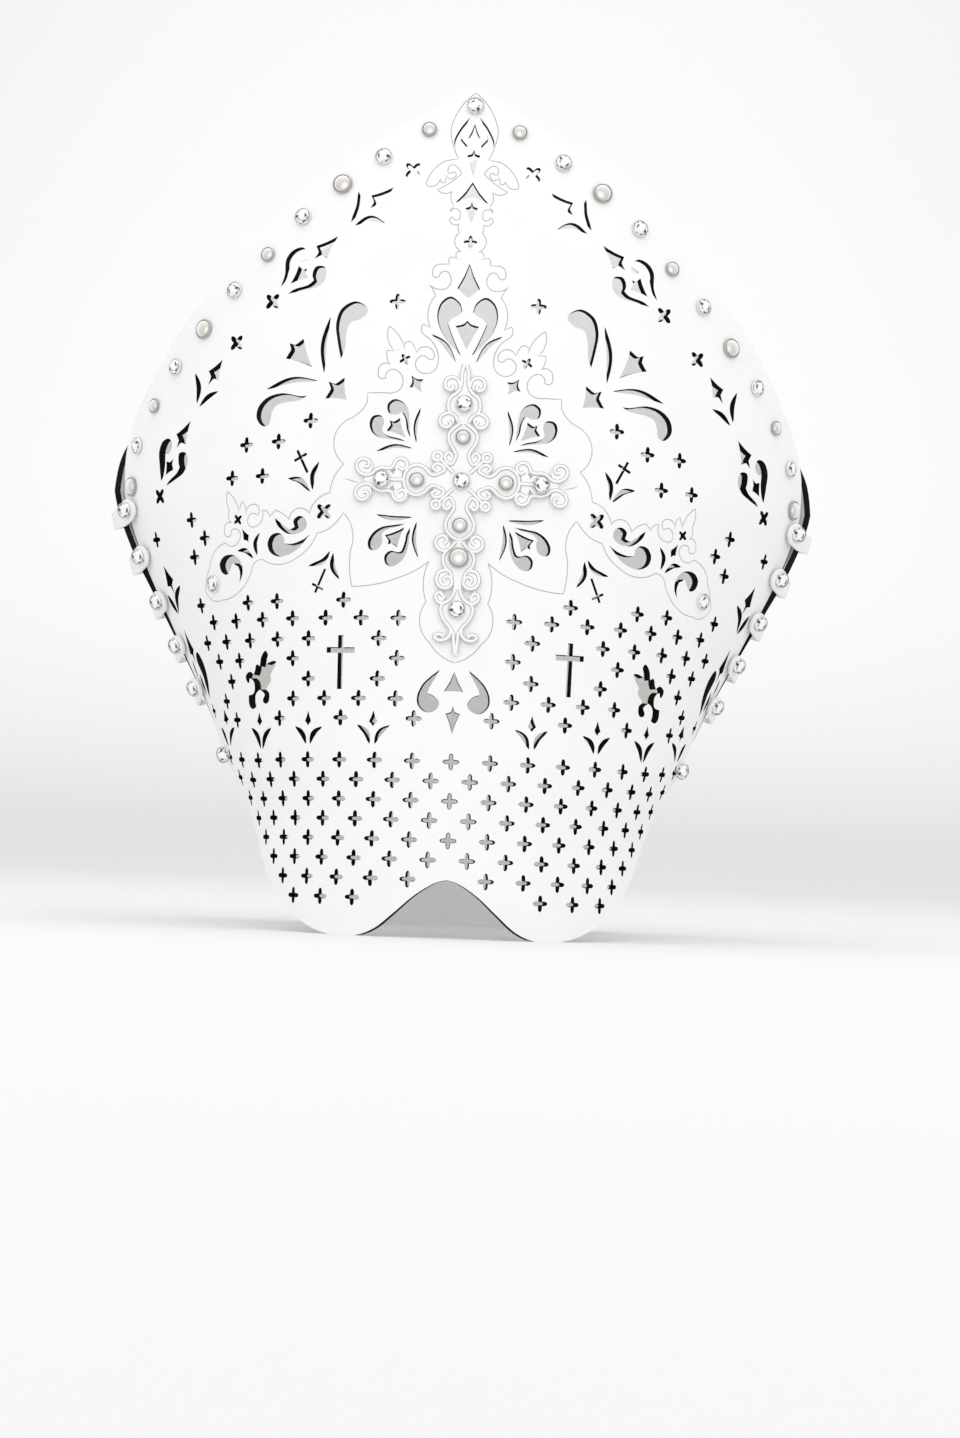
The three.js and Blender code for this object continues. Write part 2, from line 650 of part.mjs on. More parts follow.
addPiece('front_panel', frontPanel(), leather);
addPiece('back_panel', backPanel(), plainLeather);
addPiece('cross_applique', crossPlate(), leather);
addPiece('seam_strip_right', stripGeometry(1), tanLeather);
addPiece('seam_strip_left', stripGeometry(-1), tanLeather);
addTabs();
addStones('rim', RIM_STONES, CLEAR);
addStones('panel', PANEL_STONES, 0);
addStones('cross', CROSS_STONES, CROSS_THICK + 2 * CLEAR);

export default mitre;
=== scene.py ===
"""Dresses a bishop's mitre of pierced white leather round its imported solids.

The front panel is laid out flat, pierced and engraved there, and then bent. All flat places are
(across, up) in millimetres: the distance along the bent leather from its middle line, and the height.
"""

import logging
import math
from dataclasses import dataclass, field
from enum import Enum
from typing import NamedTuple

import bmesh
import bpy
from mathutils import Matrix, Vector, kdtree
from mathutils.geometry import delaunay_2d_cdt


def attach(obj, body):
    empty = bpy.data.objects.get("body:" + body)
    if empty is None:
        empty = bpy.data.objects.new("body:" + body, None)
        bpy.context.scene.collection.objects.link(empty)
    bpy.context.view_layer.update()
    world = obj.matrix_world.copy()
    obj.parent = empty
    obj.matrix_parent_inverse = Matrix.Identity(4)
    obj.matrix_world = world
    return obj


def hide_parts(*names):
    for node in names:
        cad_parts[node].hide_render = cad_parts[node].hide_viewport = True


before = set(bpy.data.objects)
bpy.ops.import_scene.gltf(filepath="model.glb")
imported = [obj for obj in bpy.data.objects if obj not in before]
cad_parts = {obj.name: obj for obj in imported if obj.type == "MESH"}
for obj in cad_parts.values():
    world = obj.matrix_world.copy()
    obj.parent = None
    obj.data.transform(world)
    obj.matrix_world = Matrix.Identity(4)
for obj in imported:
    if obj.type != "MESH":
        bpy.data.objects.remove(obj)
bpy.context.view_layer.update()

logging.basicConfig(level=logging.INFO, format="%(message)s")
LOG = logging.getLogger("mitre")

# Millimetres to metres. Every size below is in millimetres unless its note says otherwise.
MM = 0.001
# The thickness of both panels.
WALL = 3.0
# How far a stone, or the cross, stands clear of what it lies on.
CLEAR = 0.3
# The gap between the panels along the side seams.
SEAM_GAP = 1.2
# How far the whole mitre is moved forwards, to centre it in the frame.
MIDDLE_SHIFT = 1.52
# The height of the tip.
HEIGHT = 338.5
# The distance between the points of an opening's edge, and of an engraved arc.
EDGE_STEP = 0.9
ARC_STEP = 1.2
# An arc with a smaller bulge is drawn straight.
STRAIGHT = 0.02
# A strip that is narrower than this at an end comes to a point there.
POINTED = 0.05
# The least distance between points, and twice the least area of an outline, that counts.
SLIVER = 1e-4
# Points of a curve count as at least this far apart.
LEAST_STEP = 1e-3
# How far the points that fill a sheet stay off its edges, as a share of their own distance.
FILL_CLEAR = 0.42
# The least upward part of a normal that counts as looking straight up.
UPWARD = 0.9

Flat = tuple[float, float]
Outline = list[Flat]
Colour = tuple[float, float, float]
Row = tuple[float, ...]


class Face(Enum):
    """The two bent panels."""

    FRONT = "front"
    BACK = "back"


class Gem(Enum):
    """The kinds of stone, with the radius of each."""

    CRYSTAL = 3.4
    SMALL = 3.0
    LARGE = 4.0

    @property
    def kind(self) -> str:
        """The word for it in the names of nodes and slots."""
        return "crystal" if self is Gem.CRYSTAL else "pearl"


# ---- Curves ----


def eased(a: float, b: float, rise_a: float, rise_b: float, t: float) -> float:
    """A cubic curve from a to b, at a share of the way.

    Args:
        a: The value at the start.
        b: The value at the end.
        rise_a: The slope at the start, over the whole way.
        rise_b: The slope at the end, over the whole way.
        t: The share of the way.

    Returns:
        The value.
    """
    return (
        a * (1 + 2 * t) * (1 - t) ** 2
        + b * t * t * (3 - 2 * t)
        + rise_a * t * (1 - t) ** 2
        - rise_b * t * t * (1 - t)
    )


def smooth_value(rows: tuple[Row, ...], at: float, column: int) -> float:
    """Reads a table along a smooth curve that keeps the rows' rise and fall.

    Args:
        rows: Rows in order of their first number.
        at: Where to read, on the first number.
        column: Which number to give.

    Returns:
        The value, held level past either end.
    """
    if at <= rows[0][0]:
        return rows[0][column]
    if at >= rows[-1][0]:
        return rows[-1][column]
    i = next(k for k in range(1, len(rows)) if rows[k][0] >= at)

    def slope(k: int) -> float:
        """The slope between row k and the next."""
        return (rows[k + 1][column] - rows[k][column]) / (rows[k + 1][0] - rows[k][0])

    def tangent(k: int) -> float:
        """The curve's slope at row k."""
        if k == 0 or k == len(rows) - 1:
            return slope(min(k, len(rows) - 2))
        before, after = slope(k - 1), slope(k)
        if before * after <= 0:
            return 0.0
        return 2 * before * after / (before + after)

    low, high = rows[i - 1], rows[i]
    span = high[0] - low[0]
    return eased(low[column], high[column], span * tangent(i - 1), span * tangent(i), (at - low[0]) / span)


def flowing(points: list[Row], step: float = 1.0) -> list[Row]:
    """A smooth curve through points that may carry further numbers, such as a width.

    Args:
        points: The points to pass through.
        step: The distance between the curve's own points.

    Returns:
        The curve's points, the ends among them.
    """
    first = tuple(2 * a - b for a, b in zip(points[0], points[1]))
    last = tuple(2 * a - b for a, b in zip(points[-1], points[-2]))
    chain = [first, *points, last]
    out = []
    for p0, p1, p2, p3 in zip(chain, chain[1:], chain[2:], chain[3:]):
        k0, k1, k2 = (
            max(math.dist(p[:2], q[:2]), LEAST_STEP) ** 0.5 for p, q in ((p0, p1), (p1, p2), (p2, p3))
        )
        count = max(2, math.ceil(math.dist(p1[:2], p2[:2]) / step))
        for i in range(count):
            row = []
            for a, b, c, d in zip(p0, p1, p2, p3):
                leave = (c - b) + k1 * ((b - a) / k0 - (c - a) / (k0 + k1))
                reach = (c - b) + k1 * ((d - c) / k2 - (d - b) / (k1 + k2))
                row.append(eased(b, c, leave, reach, i / count))
            out.append(tuple(row))
    out.append(tuple(points[-1]))
    return out


def arc_points(start: Flat, end: Flat, bulge: float) -> Outline:
    """Points of an arc from its start up to, but without, its end.

    Args:
        start: The arc's first point.
        end: Its last point.
        bulge: How far its middle stands left of the chord, as a share of half the chord.

    Returns:
        The points.
    """
    chord = math.dist(start, end)
    if abs(bulge) < STRAIGHT:
        count = max(1, math.ceil(chord / (3 * ARC_STEP)))
        return [tuple(a + (b - a) * i / count for a, b in zip(start, end)) for i in range(count)]
    sweep = 4 * math.atan(bulge)
    radius = chord / (2 * math.sin(sweep / 2))
    count = max(2, math.ceil(abs(radius * sweep) / ARC_STEP))
    heading = math.atan2(end[1] - start[1], end[0] - start[0]) + sweep / 2
    x = start[0] + radius * math.sin(heading)
    y = start[1] - radius * math.cos(heading)
    angles = [heading - sweep * i / count for i in range(count)]
    return [(x - radius * math.sin(angle), y + radius * math.cos(angle)) for angle in angles]


def arc_path(rows: list[tuple[float, float, float]]) -> Outline:
    """The points of a path of arcs, each row giving a corner and the bulge of the arc after it."""
    points: Outline = []
    for low, high in zip(rows, rows[1:]):
        points += arc_points(low[:2], high[:2], low[2])
    return [*points, rows[-1][:2]]


def ring_points(across: float, up: float, radius: float, angles: list[float]) -> Outline:
    """Points of a circle at the given angles, in radians."""
    return [(across + radius * math.cos(angle), up + radius * math.sin(angle)) for angle in angles]


def disc(across: float, up: float, radius: float) -> Outline:
    """A round outline."""
    count = max(12, 2 * math.ceil(math.pi * radius / EDGE_STEP))
    return ring_points(across, up, radius, [2 * math.pi * i / count for i in range(count)])


def turned(points: Outline, across: float, up: float, turn: float) -> Outline:
    """Points turned clockwise by some degrees and moved to their place."""
    angle = -math.radians(turn)
    c, s = math.cos(angle), math.sin(angle)
    return [(across + c * x - s * y, up + s * x + c * y) for x, y in points]


def mirrored(points: list[Row]) -> list[Row]:
    """The same points on the other side of the middle line."""
    return [(-p[0], *p[1:]) for p in points]


def both_sides(shapes: list[Outline]) -> list[Outline]:
    """A list of outlines and their mirror images."""
    return [*shapes, *(mirrored(shape) for shape in shapes)]


def heading_at(line: Outline, i: int) -> Flat:
    """The direction of a line at one of its points, one long."""
    before, after = line[max(i - 1, 0)], line[min(i + 1, len(line) - 1)]
    dx, dy = after[0] - before[0], after[1] - before[1]
    length = math.hypot(dx, dy) or 1.0
    return dx / length, dy / length


def ribbon_outline(rows: list[tuple[float, float, float]]) -> Outline:
    """The outline of a strip that follows places with a full width each."""
    left, right = [], []
    for i, (x, y, width) in enumerate(rows):
        dx, dy = heading_at(rows, i)
        half = max(width, 0.0) / 2
        left.append((x - dy * half, y + dx * half))
        right.append((x + dy * half, y - dx * half))
    if rows[0][2] <= POINTED:
        left = left[1:]
        right[0] = rows[0][:2]
    if rows[-1][2] <= POINTED:
        left = left[:-1]
        right[-1] = rows[-1][:2]
    return [*right, *reversed(left)]


# ---- The bent leather ----


@dataclass(frozen=True)
class BentLeather:
    """Bends flat leather into its place on the mitre.

    Attributes:
        face: Which panel it bends.
        plan: Height, the middle's distance before the seam, and the radius of the plan's arc.
        ease: Height, and how far the back panel's edge stands out beyond the front's.
        edge: How far to the side that edge lies.
    """

    face: Face
    plan: tuple[tuple[float, float, float], ...] = (
        (0, 95.5, 80),
        (38, 92.4, 82),
        (52, 91.3, 86),
        (68.5, 90, 95),
        (85, 88.7, 101.5),
        (120, 86, 123.5),
        (156, 83, 150.5),
        (178, 81.3, 163.5),
        (HEIGHT, 62, 192),
    )
    ease: tuple[tuple[float, float], ...] = ((0, 0), (100, 0.6), (130, 2), (176, 4.5), (215, 0), (HEIGHT, 0))
    edge: float = 142

    def place(self, across: float, up: float, out: float = 0.0) -> Vector:
        """The bent place of a flat point, in metres.

        Args:
            across: Along the leather from its middle line.
            up: The height.
            out: Before the leather's outer face.

        Returns:
            The place in the part's own frame.
        """
        bend = smooth_value(self.plan, up, 2)
        fore = smooth_value(self.plan, up, 1)
        angle = across / bend
        reach = bend + out
        x = reach * math.sin(angle)
        y = bend - fore - reach * math.cos(angle)
        if self.face is Face.BACK:
            x *= -(1 + smooth_value(self.ease, up, 1) / self.edge)
            y = SEAM_GAP - y
        return Vector((x, y - MIDDLE_SHIFT, up)) * MM

    def seat(self, across: float, up: float, out: float) -> Matrix:
        """A frame on the leather, whose Z looks outwards and whose Y climbs."""
        base = self.place(across, up, out)
        side = self.place(across + 1, up, out) - base
        rise = self.place(across, up + 1, out) - base
        normal = side.cross(rise).normalized()
        rise = normal.cross(side.normalized())
        turn = Matrix((side.normalized(), rise, normal)).transposed().to_4x4()
        return Matrix.Translation(base) @ turn


FRONT = BentLeather(Face.FRONT)
BACK = BentLeather(Face.BACK)

RIM = [
    (0, HEIGHT), (5, 336), (14.5, 331), (22, 326), (29, 322), (48, 309), (62, 299), (81, 285.5), (96, 272),
    (115, 255), (131, 239.5), (147, 222), (156, 212), (163.5, 201.5), (168, 193), (170.6, 182),
]
TEMPLE = [(145.5, 84), (151, 104), (156, 121), (161, 138), (166.5, 156), (170.6, 179)]
FRONT_HEM = [
    (0, 22.5), (4, 21.5), (12, 16.5), (20, 9.5), (28, 3), (36, 0), (48, 0), (61, 3.5), (73, 9.5), (87, 20),
    (104, 39), (118, 53), (130, 66), (145.5, 84),
]
BACK_HEM = [(0, 0), (60, 0), (73, 6), (87, 18), (104, 37), (118, 52), (130, 66), (145.5, 84)]


def seam_at(up: float) -> float:
    """How far across the leather the side seam lies at a height."""
    for (low_across, low), (high_across, high) in zip(TEMPLE, TEMPLE[1:]):
        if up <= high:
            return low_across + max(0.0, (up - low) / (high - low)) * (high_across - low_across)
    return TEMPLE[-1][0]


def panel_outline(hem: list[Flat]) -> Outline:
    """The whole outline of a panel: its hem, side seams and rim, anticlockwise."""
    step = 3.0
    seam_and_hem = [*flowing(hem, step)[:-1], *flowing(TEMPLE, step)[:-1]]
    rim = flowing([TEMPLE[-1], *reversed(RIM[:-1])], step)
    right = [(x, max(y, 0.0)) for x, y in [*seam_and_hem, *rim]]
    return [*right, *mirrored(right[-2:0:-1])]


# ---- Shapes of the openings, right of the middle line ----


@dataclass(frozen=True)
class Curl:
    """An opening, such as a comma, whose edge runs smoothly from corner to corner.

    Attributes:
        runs: Stretches of the edge in order round it, each from its corner up to the next one's.
    """

    runs: tuple[tuple[Flat, ...], ...]

    def outlines(self) -> list[Outline]:
        """The opening's one outline."""
        points: Outline = []
        for run, following in zip(self.runs, self.runs[1:] + self.runs[:1]):
            points += flowing([*run, following[0]], EDGE_STEP)[:-1]
        return [points]


@dataclass(frozen=True)
class Blade:
    """A thin leaf, pointed at both ends.

    Attributes:
        start: One tip.
        middle: The place half way, and the full width there.
        end: The other tip.
    """

    start: Flat
    middle: tuple[float, float, float]
    end: Flat

    def outlines(self) -> list[Outline]:
        """The leaf's one outline, a little fuller near its tips than a sine."""
        spine = flowing([self.start, self.middle[:2], self.end])
        last = len(spine) - 1
        shares = [max(0.0, math.sin(math.pi * i / last)) ** 0.8 for i in range(last + 1)]
        return [ribbon_outline([(x, y, self.middle[2] * share) for (x, y), share in zip(spine, shares)])]


@dataclass(frozen=True)
class Kite:
    """Four corners with hollow sides.

    Attributes:
        across: Along the leather from the middle line.
        up: The height.
        long: From the centre to the long tip.
        short: From the centre to the opposite tip.
        wide: The full width.
        turn: The long tip's direction from straight up, in degrees, outwards.
        flank: How hollow the long sides are.
        shoulder: How hollow the short sides are.
    """

    across: float
    up: float
    long: float
    short: float
    wide: float
    turn: float
    flank: float = 0.1
    shoulder: float = 0.5

    def outlines(self) -> list[Outline]:
        """The kite's one outline."""
        tips = [(0, self.long), (-self.wide / 2, 0), (0, -self.short), (self.wide / 2, 0)]
        hollows = [self.flank, self.shoulder, self.shoulder, self.flank]
        points: Outline = []
        for (ax, ay), (bx, by), hollow in zip(tips, tips[1:] + tips[:1], hollows):
            for t in (0, 0.25, 0.5, 0.75):
                keep = 1 - 4 * hollow * t * (1 - t)
                points.append(((ax + (bx - ax) * t) * keep, (ay + (by - ay) * t) * keep))
        return [turned(points, self.across, self.up, self.turn)]


@dataclass(frozen=True)
class Arrow:
    """An arrowhead on the middle line.

    Attributes:
        tip: The height of its tip.
        barb: The height of its two barbs.
        base: The height of its foot, between the barbs.
        wide: The full width, from barb to barb.
        waist: The width half way down a flank, as a share of the full one.
        heel: The width between a barb and the foot, as a share of the full one.
    """

    tip: float
    barb: float
    base: float
    wide: float
    waist: float = 0.42
    heel: float = 0.45

    def outlines(self) -> list[Outline]:
        """The arrowhead's one outline, with slightly hollow flanks."""
        half = self.wide / 2
        left = [
            (-self.waist * half, (self.tip + self.barb) / 2),
            (-half, self.barb),
            (-self.heel * half, 0.4 * self.barb + 0.6 * self.base),
        ]
        return [[(0, self.tip), *left, (0, self.base), *mirrored(left[::-1])]]


@dataclass(frozen=True)
class Crosslet:
    """A small cross of straight bars: a long stem and two short arms.

    Attributes:
        across: Along the leather from the middle line to where the bars cross.
        up: The height there.
        top: From there to the stem's top.
        foot: From there to the stem's foot.
        arm: From there to an arm's end.
        bar: Half the width of a bar.
        turn: The turn of the whole, clockwise, in degrees.
    """

    across: float
    up: float
    top: float
    foot: float
    arm: float
    bar: float
    turn: float

    def outlines(self) -> list[Outline]:
        """The stem and the arms, as one outline."""
        b = self.bar
        corners = [
            (b, b), (b, self.top), (-b, self.top), (-b, b), (-self.arm, b), (-self.arm, -b),
            (-b, -b), (-b, -self.foot), (b, -self.foot), (b, -b), (self.arm, -b), (self.arm, b),
        ]
        return [turned(corners, self.across, self.up, self.turn)]


@dataclass(frozen=True)
class PetalCross:
    """A cross of four round petals.

    Attributes:
        across: Along the leather from the middle line to its centre.
        up: The centre's height.
        reach: From the centre to a petal's tip.
        turn: The turn from upright, clockwise, in degrees.
        waist: How far its edge lies from the centre between two petals, as a share of the reach.
        count: The number of points round it.
    """

    across: float
    up: float
    reach: float = 3.25
    turn: float = 0.0
    waist: float = 0.4
    count: int = 40

    def outlines(self) -> list[Outline]:
        """The petals' one outline."""
        points = []
        for i in range(self.count):
            angle = 2 * math.pi * i / self.count
            radius = self.reach * (self.waist + (1 - self.waist) * math.cos(2 * angle) ** 2)
            points.append((radius * math.cos(angle), radius * math.sin(angle)))
        return [turned(points, self.across, self.up, self.turn)]


CURLS = [
    Curl((
        ((1.9, 326), (5.8, 320.8), (8, 315), (5.4, 311.2), (3.6, 311.9)),
        ((2.7, 314),),
        ((5.3, 317), (4.9, 319.5), (3.4, 322.6)),
    )),
    Curl((
        ((2.1, 228), (6.5, 232.6), (10.2, 237.8), (12, 244), (10.6, 249.4), (7, 251.9), (3.2, 249.3)),
        ((2.1, 245.8), (3.6, 244.4), (6, 243)),
        ((7.7, 241.2), (5.4, 235.3)),
    )),
    Curl((
        (
            (20.7, 194.6), (21.2, 200.1), (21.9, 205.6), (24.2, 208.9), (27.6, 210), (30.2, 208),
            (29.7, 204.6), (27.2, 203.8),
        ),
        ((24.3, 204.8), (22.9, 202), (22.2, 198)),
    )),
    Curl((
        (
            (22.5, 193.1), (29, 194), (33.6, 194.8), (36.5, 197.3), (37.2, 200.8), (35.9, 203.2),
            (32.8, 203.4), (31.4, 201.2), (32, 197.7),
        ),
        ((31.4, 196.4), (29.8, 195.4), (24.6, 194.1)),
    )),
    Curl((
        (
            (21.4, 160.5), (26, 159.9), (31, 158.9), (34.5, 156.3), (36.1, 152.7), (35.1, 150.1),
            (31.9, 150.3), (30.2, 153.3), (30.4, 156.5), (27.4, 158.6), (25, 159.1),
        ),
    )),
    Curl((
        (
            (19.4, 159.1), (19.6, 153.5), (20.5, 149.1), (22.6, 145.5), (25.8, 143.6), (28.6, 144.6),
            (29.1, 147.7), (27, 149.7),
        ),
        ((24.1, 149.2), (22.7, 149.5), (21.2, 153.5), (20.8, 156.2)),
    )),
    Curl((
        (
            (77.8, 256.4), (76.1, 261.5), (75.8, 267.7), (73.1, 271.2), (68.6, 272.4), (65.8, 269.3),
            (66.6, 267.3), (68.2, 266.6), (70.2, 267.2), (73.3, 265.5), (75.6, 259),
        ),
    )),
    Curl((
        ((74.4, 253.5), (71.7, 255.2), (65.4, 256.9)),
        ((63.2, 258.6), (63.9, 261), (62.5, 264.2), (58.7, 264), (58, 259.8), (60.6, 256.3), (66.4, 254.8)),
    )),
    Curl((
        (
            (50.2, 226.3), (51.9, 233.6), (52.8, 240.6), (50.8, 246.6), (45.3, 249.6), (40.8, 247.6),
            (39.8, 245.5), (42.3, 242.6), (46.8, 240.9), (48.4, 236.5), (48.5, 233), (48.9, 229.5),
        ),
    )),
    Curl((
        (
            (63.9, 211.5), (67, 211.5), (75.1, 212.9), (81.9, 211.3), (85.8, 207.7), (86.5, 203.2),
            (83.4, 199.8), (80.5, 200.5), (79.5, 204.8), (77.8, 207.8), (73, 209.2), (67.3, 209.9),
        ),
    )),
    Curl((
        (
            (76.5, 162.8), (75.9, 160.8), (74.6, 159.1), (70.7, 156.5), (65.8, 156.5), (62.2, 159),
            (62.7, 162.3), (65.6, 163.4), (68, 161.6),
        ),
        ((67.4, 159.1), (69.5, 158.2), (72.8, 160.1)),
    )),
    Curl((
        ((60.4, 156.1), (63.8, 153.9), (68.8, 152.4)),
        (
            (72, 152.6), (72.3, 155.2), (74.6, 156.8), (78.1, 156), (79.9, 152.8), (78.8, 149.4),
            (75.1, 147.5), (70.6, 147.9), (65.9, 150.3),
        ),
    )),
    Curl((
        (
            (94.8, 137.6), (93, 140.8), (93, 144.3), (95.2, 147.5), (98.8, 148.8), (103, 148.1),
            (105.5, 145.2), (104.5, 142), (101.8, 140.9), (99.7, 142.6), (98.2, 145), (97.4, 145.3),
        ),
        ((96.6, 144.5), (95.2, 144), (94.2, 141.2)),
    )),
    Curl((
        (
            (139.8, 180.5), (140.7, 186.7), (141, 192.9), (138.2, 197), (133.9, 197.5), (132.4, 194.2),
            (134.7, 191.5),
        ),
        ((136.2, 191.8), (136.8, 190), (136.9, 187), (138.4, 182)),
    )),
    Curl((
        (
            (136.2, 178.3), (130.2, 180.5), (124.6, 183.3), (122.4, 187.8), (124, 191.2), (127.8, 191),
            (128.2, 187.4),
        ),
        ((127.5, 185.3), (129.3, 183.1), (134.7, 179.9)),
    )),
    Curl((
        (
            (5.6, 103.7), (9.3, 100.7), (12.3, 97.5), (14.1, 93.1), (13.7, 89.7), (10.7, 87), (7.1, 87.7),
            (5.4, 90.4), (7.4, 93.2),
        ),
        ((10.2, 94.4), (9.2, 97.1), (7.4, 100.1)),
    )),
    # The temple's comma.
    Curl((
        (
            (134.8, 92.3), (134.7, 99), (134.4, 101.4), (136.6, 107.5), (135.8, 110.2), (133.2, 111.3),
            (129.3, 106.5), (129.6, 99.5),
        ),
    )),
    # The lily.
    Curl((
        ((81.8, 110.4), (80.8, 109), (81.2, 107)),
        ((81.8, 105), (80.8, 105.5), (79.4, 106), (77.8, 106.3)),
        ((76.4, 106.1), (76.7, 104.9), (77.9, 103.2), (79.1, 101.7)),
        (
            (80, 100.6), (79.6, 98.8), (80.3, 97.6), (81.8, 96.3), (82.7, 95.2), (81.4, 94.1), (80.9, 93),
            (81.1, 91.4), (81.7, 90.1), (83.2, 89.4), (84.6, 89.8), (85.1, 90.7), (84.6, 91.7), (83.7, 92.9),
            (84.5, 93.9),
        ),
        (
            (86.5, 95), (88, 94.3), (89.4, 93), (89.8, 91.7), (89.7, 89.9), (89.4, 88.6), (90.5, 87.8),
            (92.4, 87.4), (93.8, 88.1), (94.5, 89.6), (94.4, 91.6), (94, 92.9), (93.1, 93), (91.5, 93.2),
            (90.3, 94.1), (89.8, 95.5), (89.7, 97.3), (90.4, 98.6), (91.6, 99.4), (92.5, 99.5), (92.8, 98.8),
            (93.1, 98), (93.8, 97.7), (94.5, 98.3), (95.1, 99.6), (94.8, 100.8), (93.8, 101.6), (92.3, 102.2),
            (91, 101.9),
        ),
        ((89.8, 101), (88.7, 102.7), (88.1, 104.4), (87.5, 105), (86.6, 104.8)),
        ((85.7, 104.3), (85.3, 105.7), (84.9, 107.3), (83.9, 108.9), (82.8, 110)),
    )),
]

BLADES = [
    Blade((14, 236.5), (8.5, 232.5, 2), (4, 225.5)),
    Blade((17.1, 206.8), (18.8, 199.5, 1.6), (18.3, 192.6)),
    Blade((34.2, 189.1), (27, 191.2, 1.6), (19.7, 190.5)),
    Blade((33.2, 164), (26.4, 162.6, 1.8), (18.7, 163.1)),
    Blade((17, 161.5), (17.7, 154.4, 1.7), (15.9, 147.1)),
    Blade((45.8, 294.8), (45.4, 288.8, 2.3), (48.4, 282.2)),
    Blade((46.8, 280.8), (40.5, 283.6, 2.3), (34.4, 281.6)),
    Blade((55.3, 243.5), (57.7, 232, 2.4), (57, 220.5)),
    Blade((82.4, 214.7), (70.8, 218.1, 2.4), (59.6, 217.6)),
    Blade((57.5, 185), (60, 180, 2.1), (60, 173.5)),
    Blade((71, 178.5), (65.5, 177.5, 2.4), (61, 173)),
    Blade((51.5, 149.5), (54.5, 145.5, 2), (61, 143.5)),
    Blade((50.3, 148.7), (50.4, 143.4, 2.2), (47.4, 138.2)),
    Blade((83.8, 157.2), (86, 153, 1.9), (85, 148)),
    Blade((95.2, 150.2), (91, 150.2, 2), (87, 147)),
    Blade((119.2, 223.6), (116.9, 217.4, 2.6), (117.8, 210.9)),
    Blade((116.4, 209.5), (111.5, 213.3, 2.1), (106.2, 215.2)),
    Blade((149.5, 135.2), (146.8, 131.6, 3), (143, 127.1)),
    Blade((134.8, 138.2), (140.5, 133.6, 3), (142.3, 127.5)),
    Blade((143, 108.5), (144, 105.5, 2), (143.4, 101.5)),
    Blade((138.6, 102.8), (138.8, 99, 2.8), (137.8, 94.6)),
    Blade((38, 81.5), (34, 78.5, 2.3), (32.5, 74)),
    Blade((24.5, 81.5), (28.5, 78.5, 2.3), (30.5, 74)),
    Blade((67, 80.5), (63, 77.5, 2.3), (61.2, 73.5)),
    Blade((53.5, 80.5), (57.8, 77.5, 2.3), (59.3, 73.5)),
    Blade((94.2, 80), (90, 76.6, 2.5), (87.8, 71.4)),
    Blade((80.6, 80), (84.8, 76.4, 2.5), (86.6, 71.4)),
    Blade((127.6, 80.8), (123.6, 77.6, 2.8), (120, 72.9)),
    Blade((109.2, 80.4), (114.4, 77.4, 2.7), (116.8, 72.9)),
]
KITES = [
    Kite(27.7, 199.9, 7.3, 2.2, 7.3, -135),
    Kite(26.8, 153.5, 7.6, 1.75, 6.9, -43),
    Kite(67.9, 262.2, 7.1, 2.1, 6.7, 130),
    Kite(60.3, 270.2, 9.3, 4.1, 7.1, -47),
    Kite(38, 290.3, 8.8, 3.6, 7.5, -47),
    Kite(70.3, 230.9, 11.2, 3.3, 10.9, -134),
    Kite(52.2, 214.5, 7.1, 3.8, 11.5, -133),
    Kite(19.2, 216.5, 3.7, 4.2, 6.4, 33, 0.3, 0.3),
    Kite(90.4, 155.3, 4.2, 2.1, 3.3, 31, 0.1, 0.2),
    Kite(109, 221.9, 7.7, 4.8, 6.7, -36),
    Kite(126.8, 196.8, 9.2, 4.2, 7.4, -38),
    Kite(133.6, 186.5, 4.8, 3.4, 6.2, 142, 0.1, 0.4),
    Kite(143.2, 139.6, 7.6, 5, 7.2, 20),
    Kite(140, 111.8, 9.3, 5.6, 6.6, 12),
    Kite(31.3, 82.8, 4.4, 1.9, 3.5, 0, 0.1, 0.1),
    Kite(60.3, 82.6, 4.1, 1.8, 3.2, 0, 0.1, 0.1),
    Kite(88, 82.4, 3.8, 1.8, 3.5, 0, 0.1, 0.1),
    Kite(117.6, 83.4, 4.6, 2.4, 6.5, 4),
]
AXIS_KITES = [
    Kite(0, 310, 8.5, 2.6, 5.2, 180),
    Kite(0, 288.3, 6.3, 2.8, 5, 180),
    Kite(0, 240, 9.5, 2.3, 9.2, 180, 0.04, 0.3),
    Kite(0, 86.6, 7.8, 3.2, 5.6, 180),
]
ARROWS = [
    Arrow(323.2, 316.9, 318.5, 5),
    Arrow(299, 290.3, 292.8, 13.2),
    Arrow(265.5, 255.3, 251.5, 9),
    Arrow(102.9, 95.3, 95.6, 7.4),
]
CROSSLETS = [
    Crosslet(46, 110.5, 5.8, 15.3, 6, 1.1, 0),
    Crosslet(65.7, 186.8, 3.2, 7, 3, 0.55, 28),
    Crosslet(56.6, 135.4, 7.6, 2.6, 2.7, 0.5, -24),
]
PETAL_CROSSES = [
    PetalCross(24, 303.5, 3.8, 45), PetalCross(81.2, 250.7, 3.9, 45), PetalCross(97.7, 234.6, 3.8, 45),
    PetalCross(140.9, 174.3, 3.8, 45), PetalCross(54.8, 165.1, 3.8, 45), PetalCross(28, 249.5),
    PetalCross(61.9, 201.5), PetalCross(75.8, 193.4), PetalCross(90.9, 192.5), PetalCross(82.8, 179.7),
    PetalCross(97.6, 179.3), PetalCross(120.8, 163.6), PetalCross(113.4, 156), PetalCross(147.7, 157.2),
    PetalCross(120.8, 148.7), PetalCross(24.1, 226.1, 2.4, 30), PetalCross(94.6, 162.6, 2.4, 38),
    PetalCross(134, 87.6, 3),
]
AXIS_PETAL_CROSS = PetalCross(0, 274.3, 2.7)


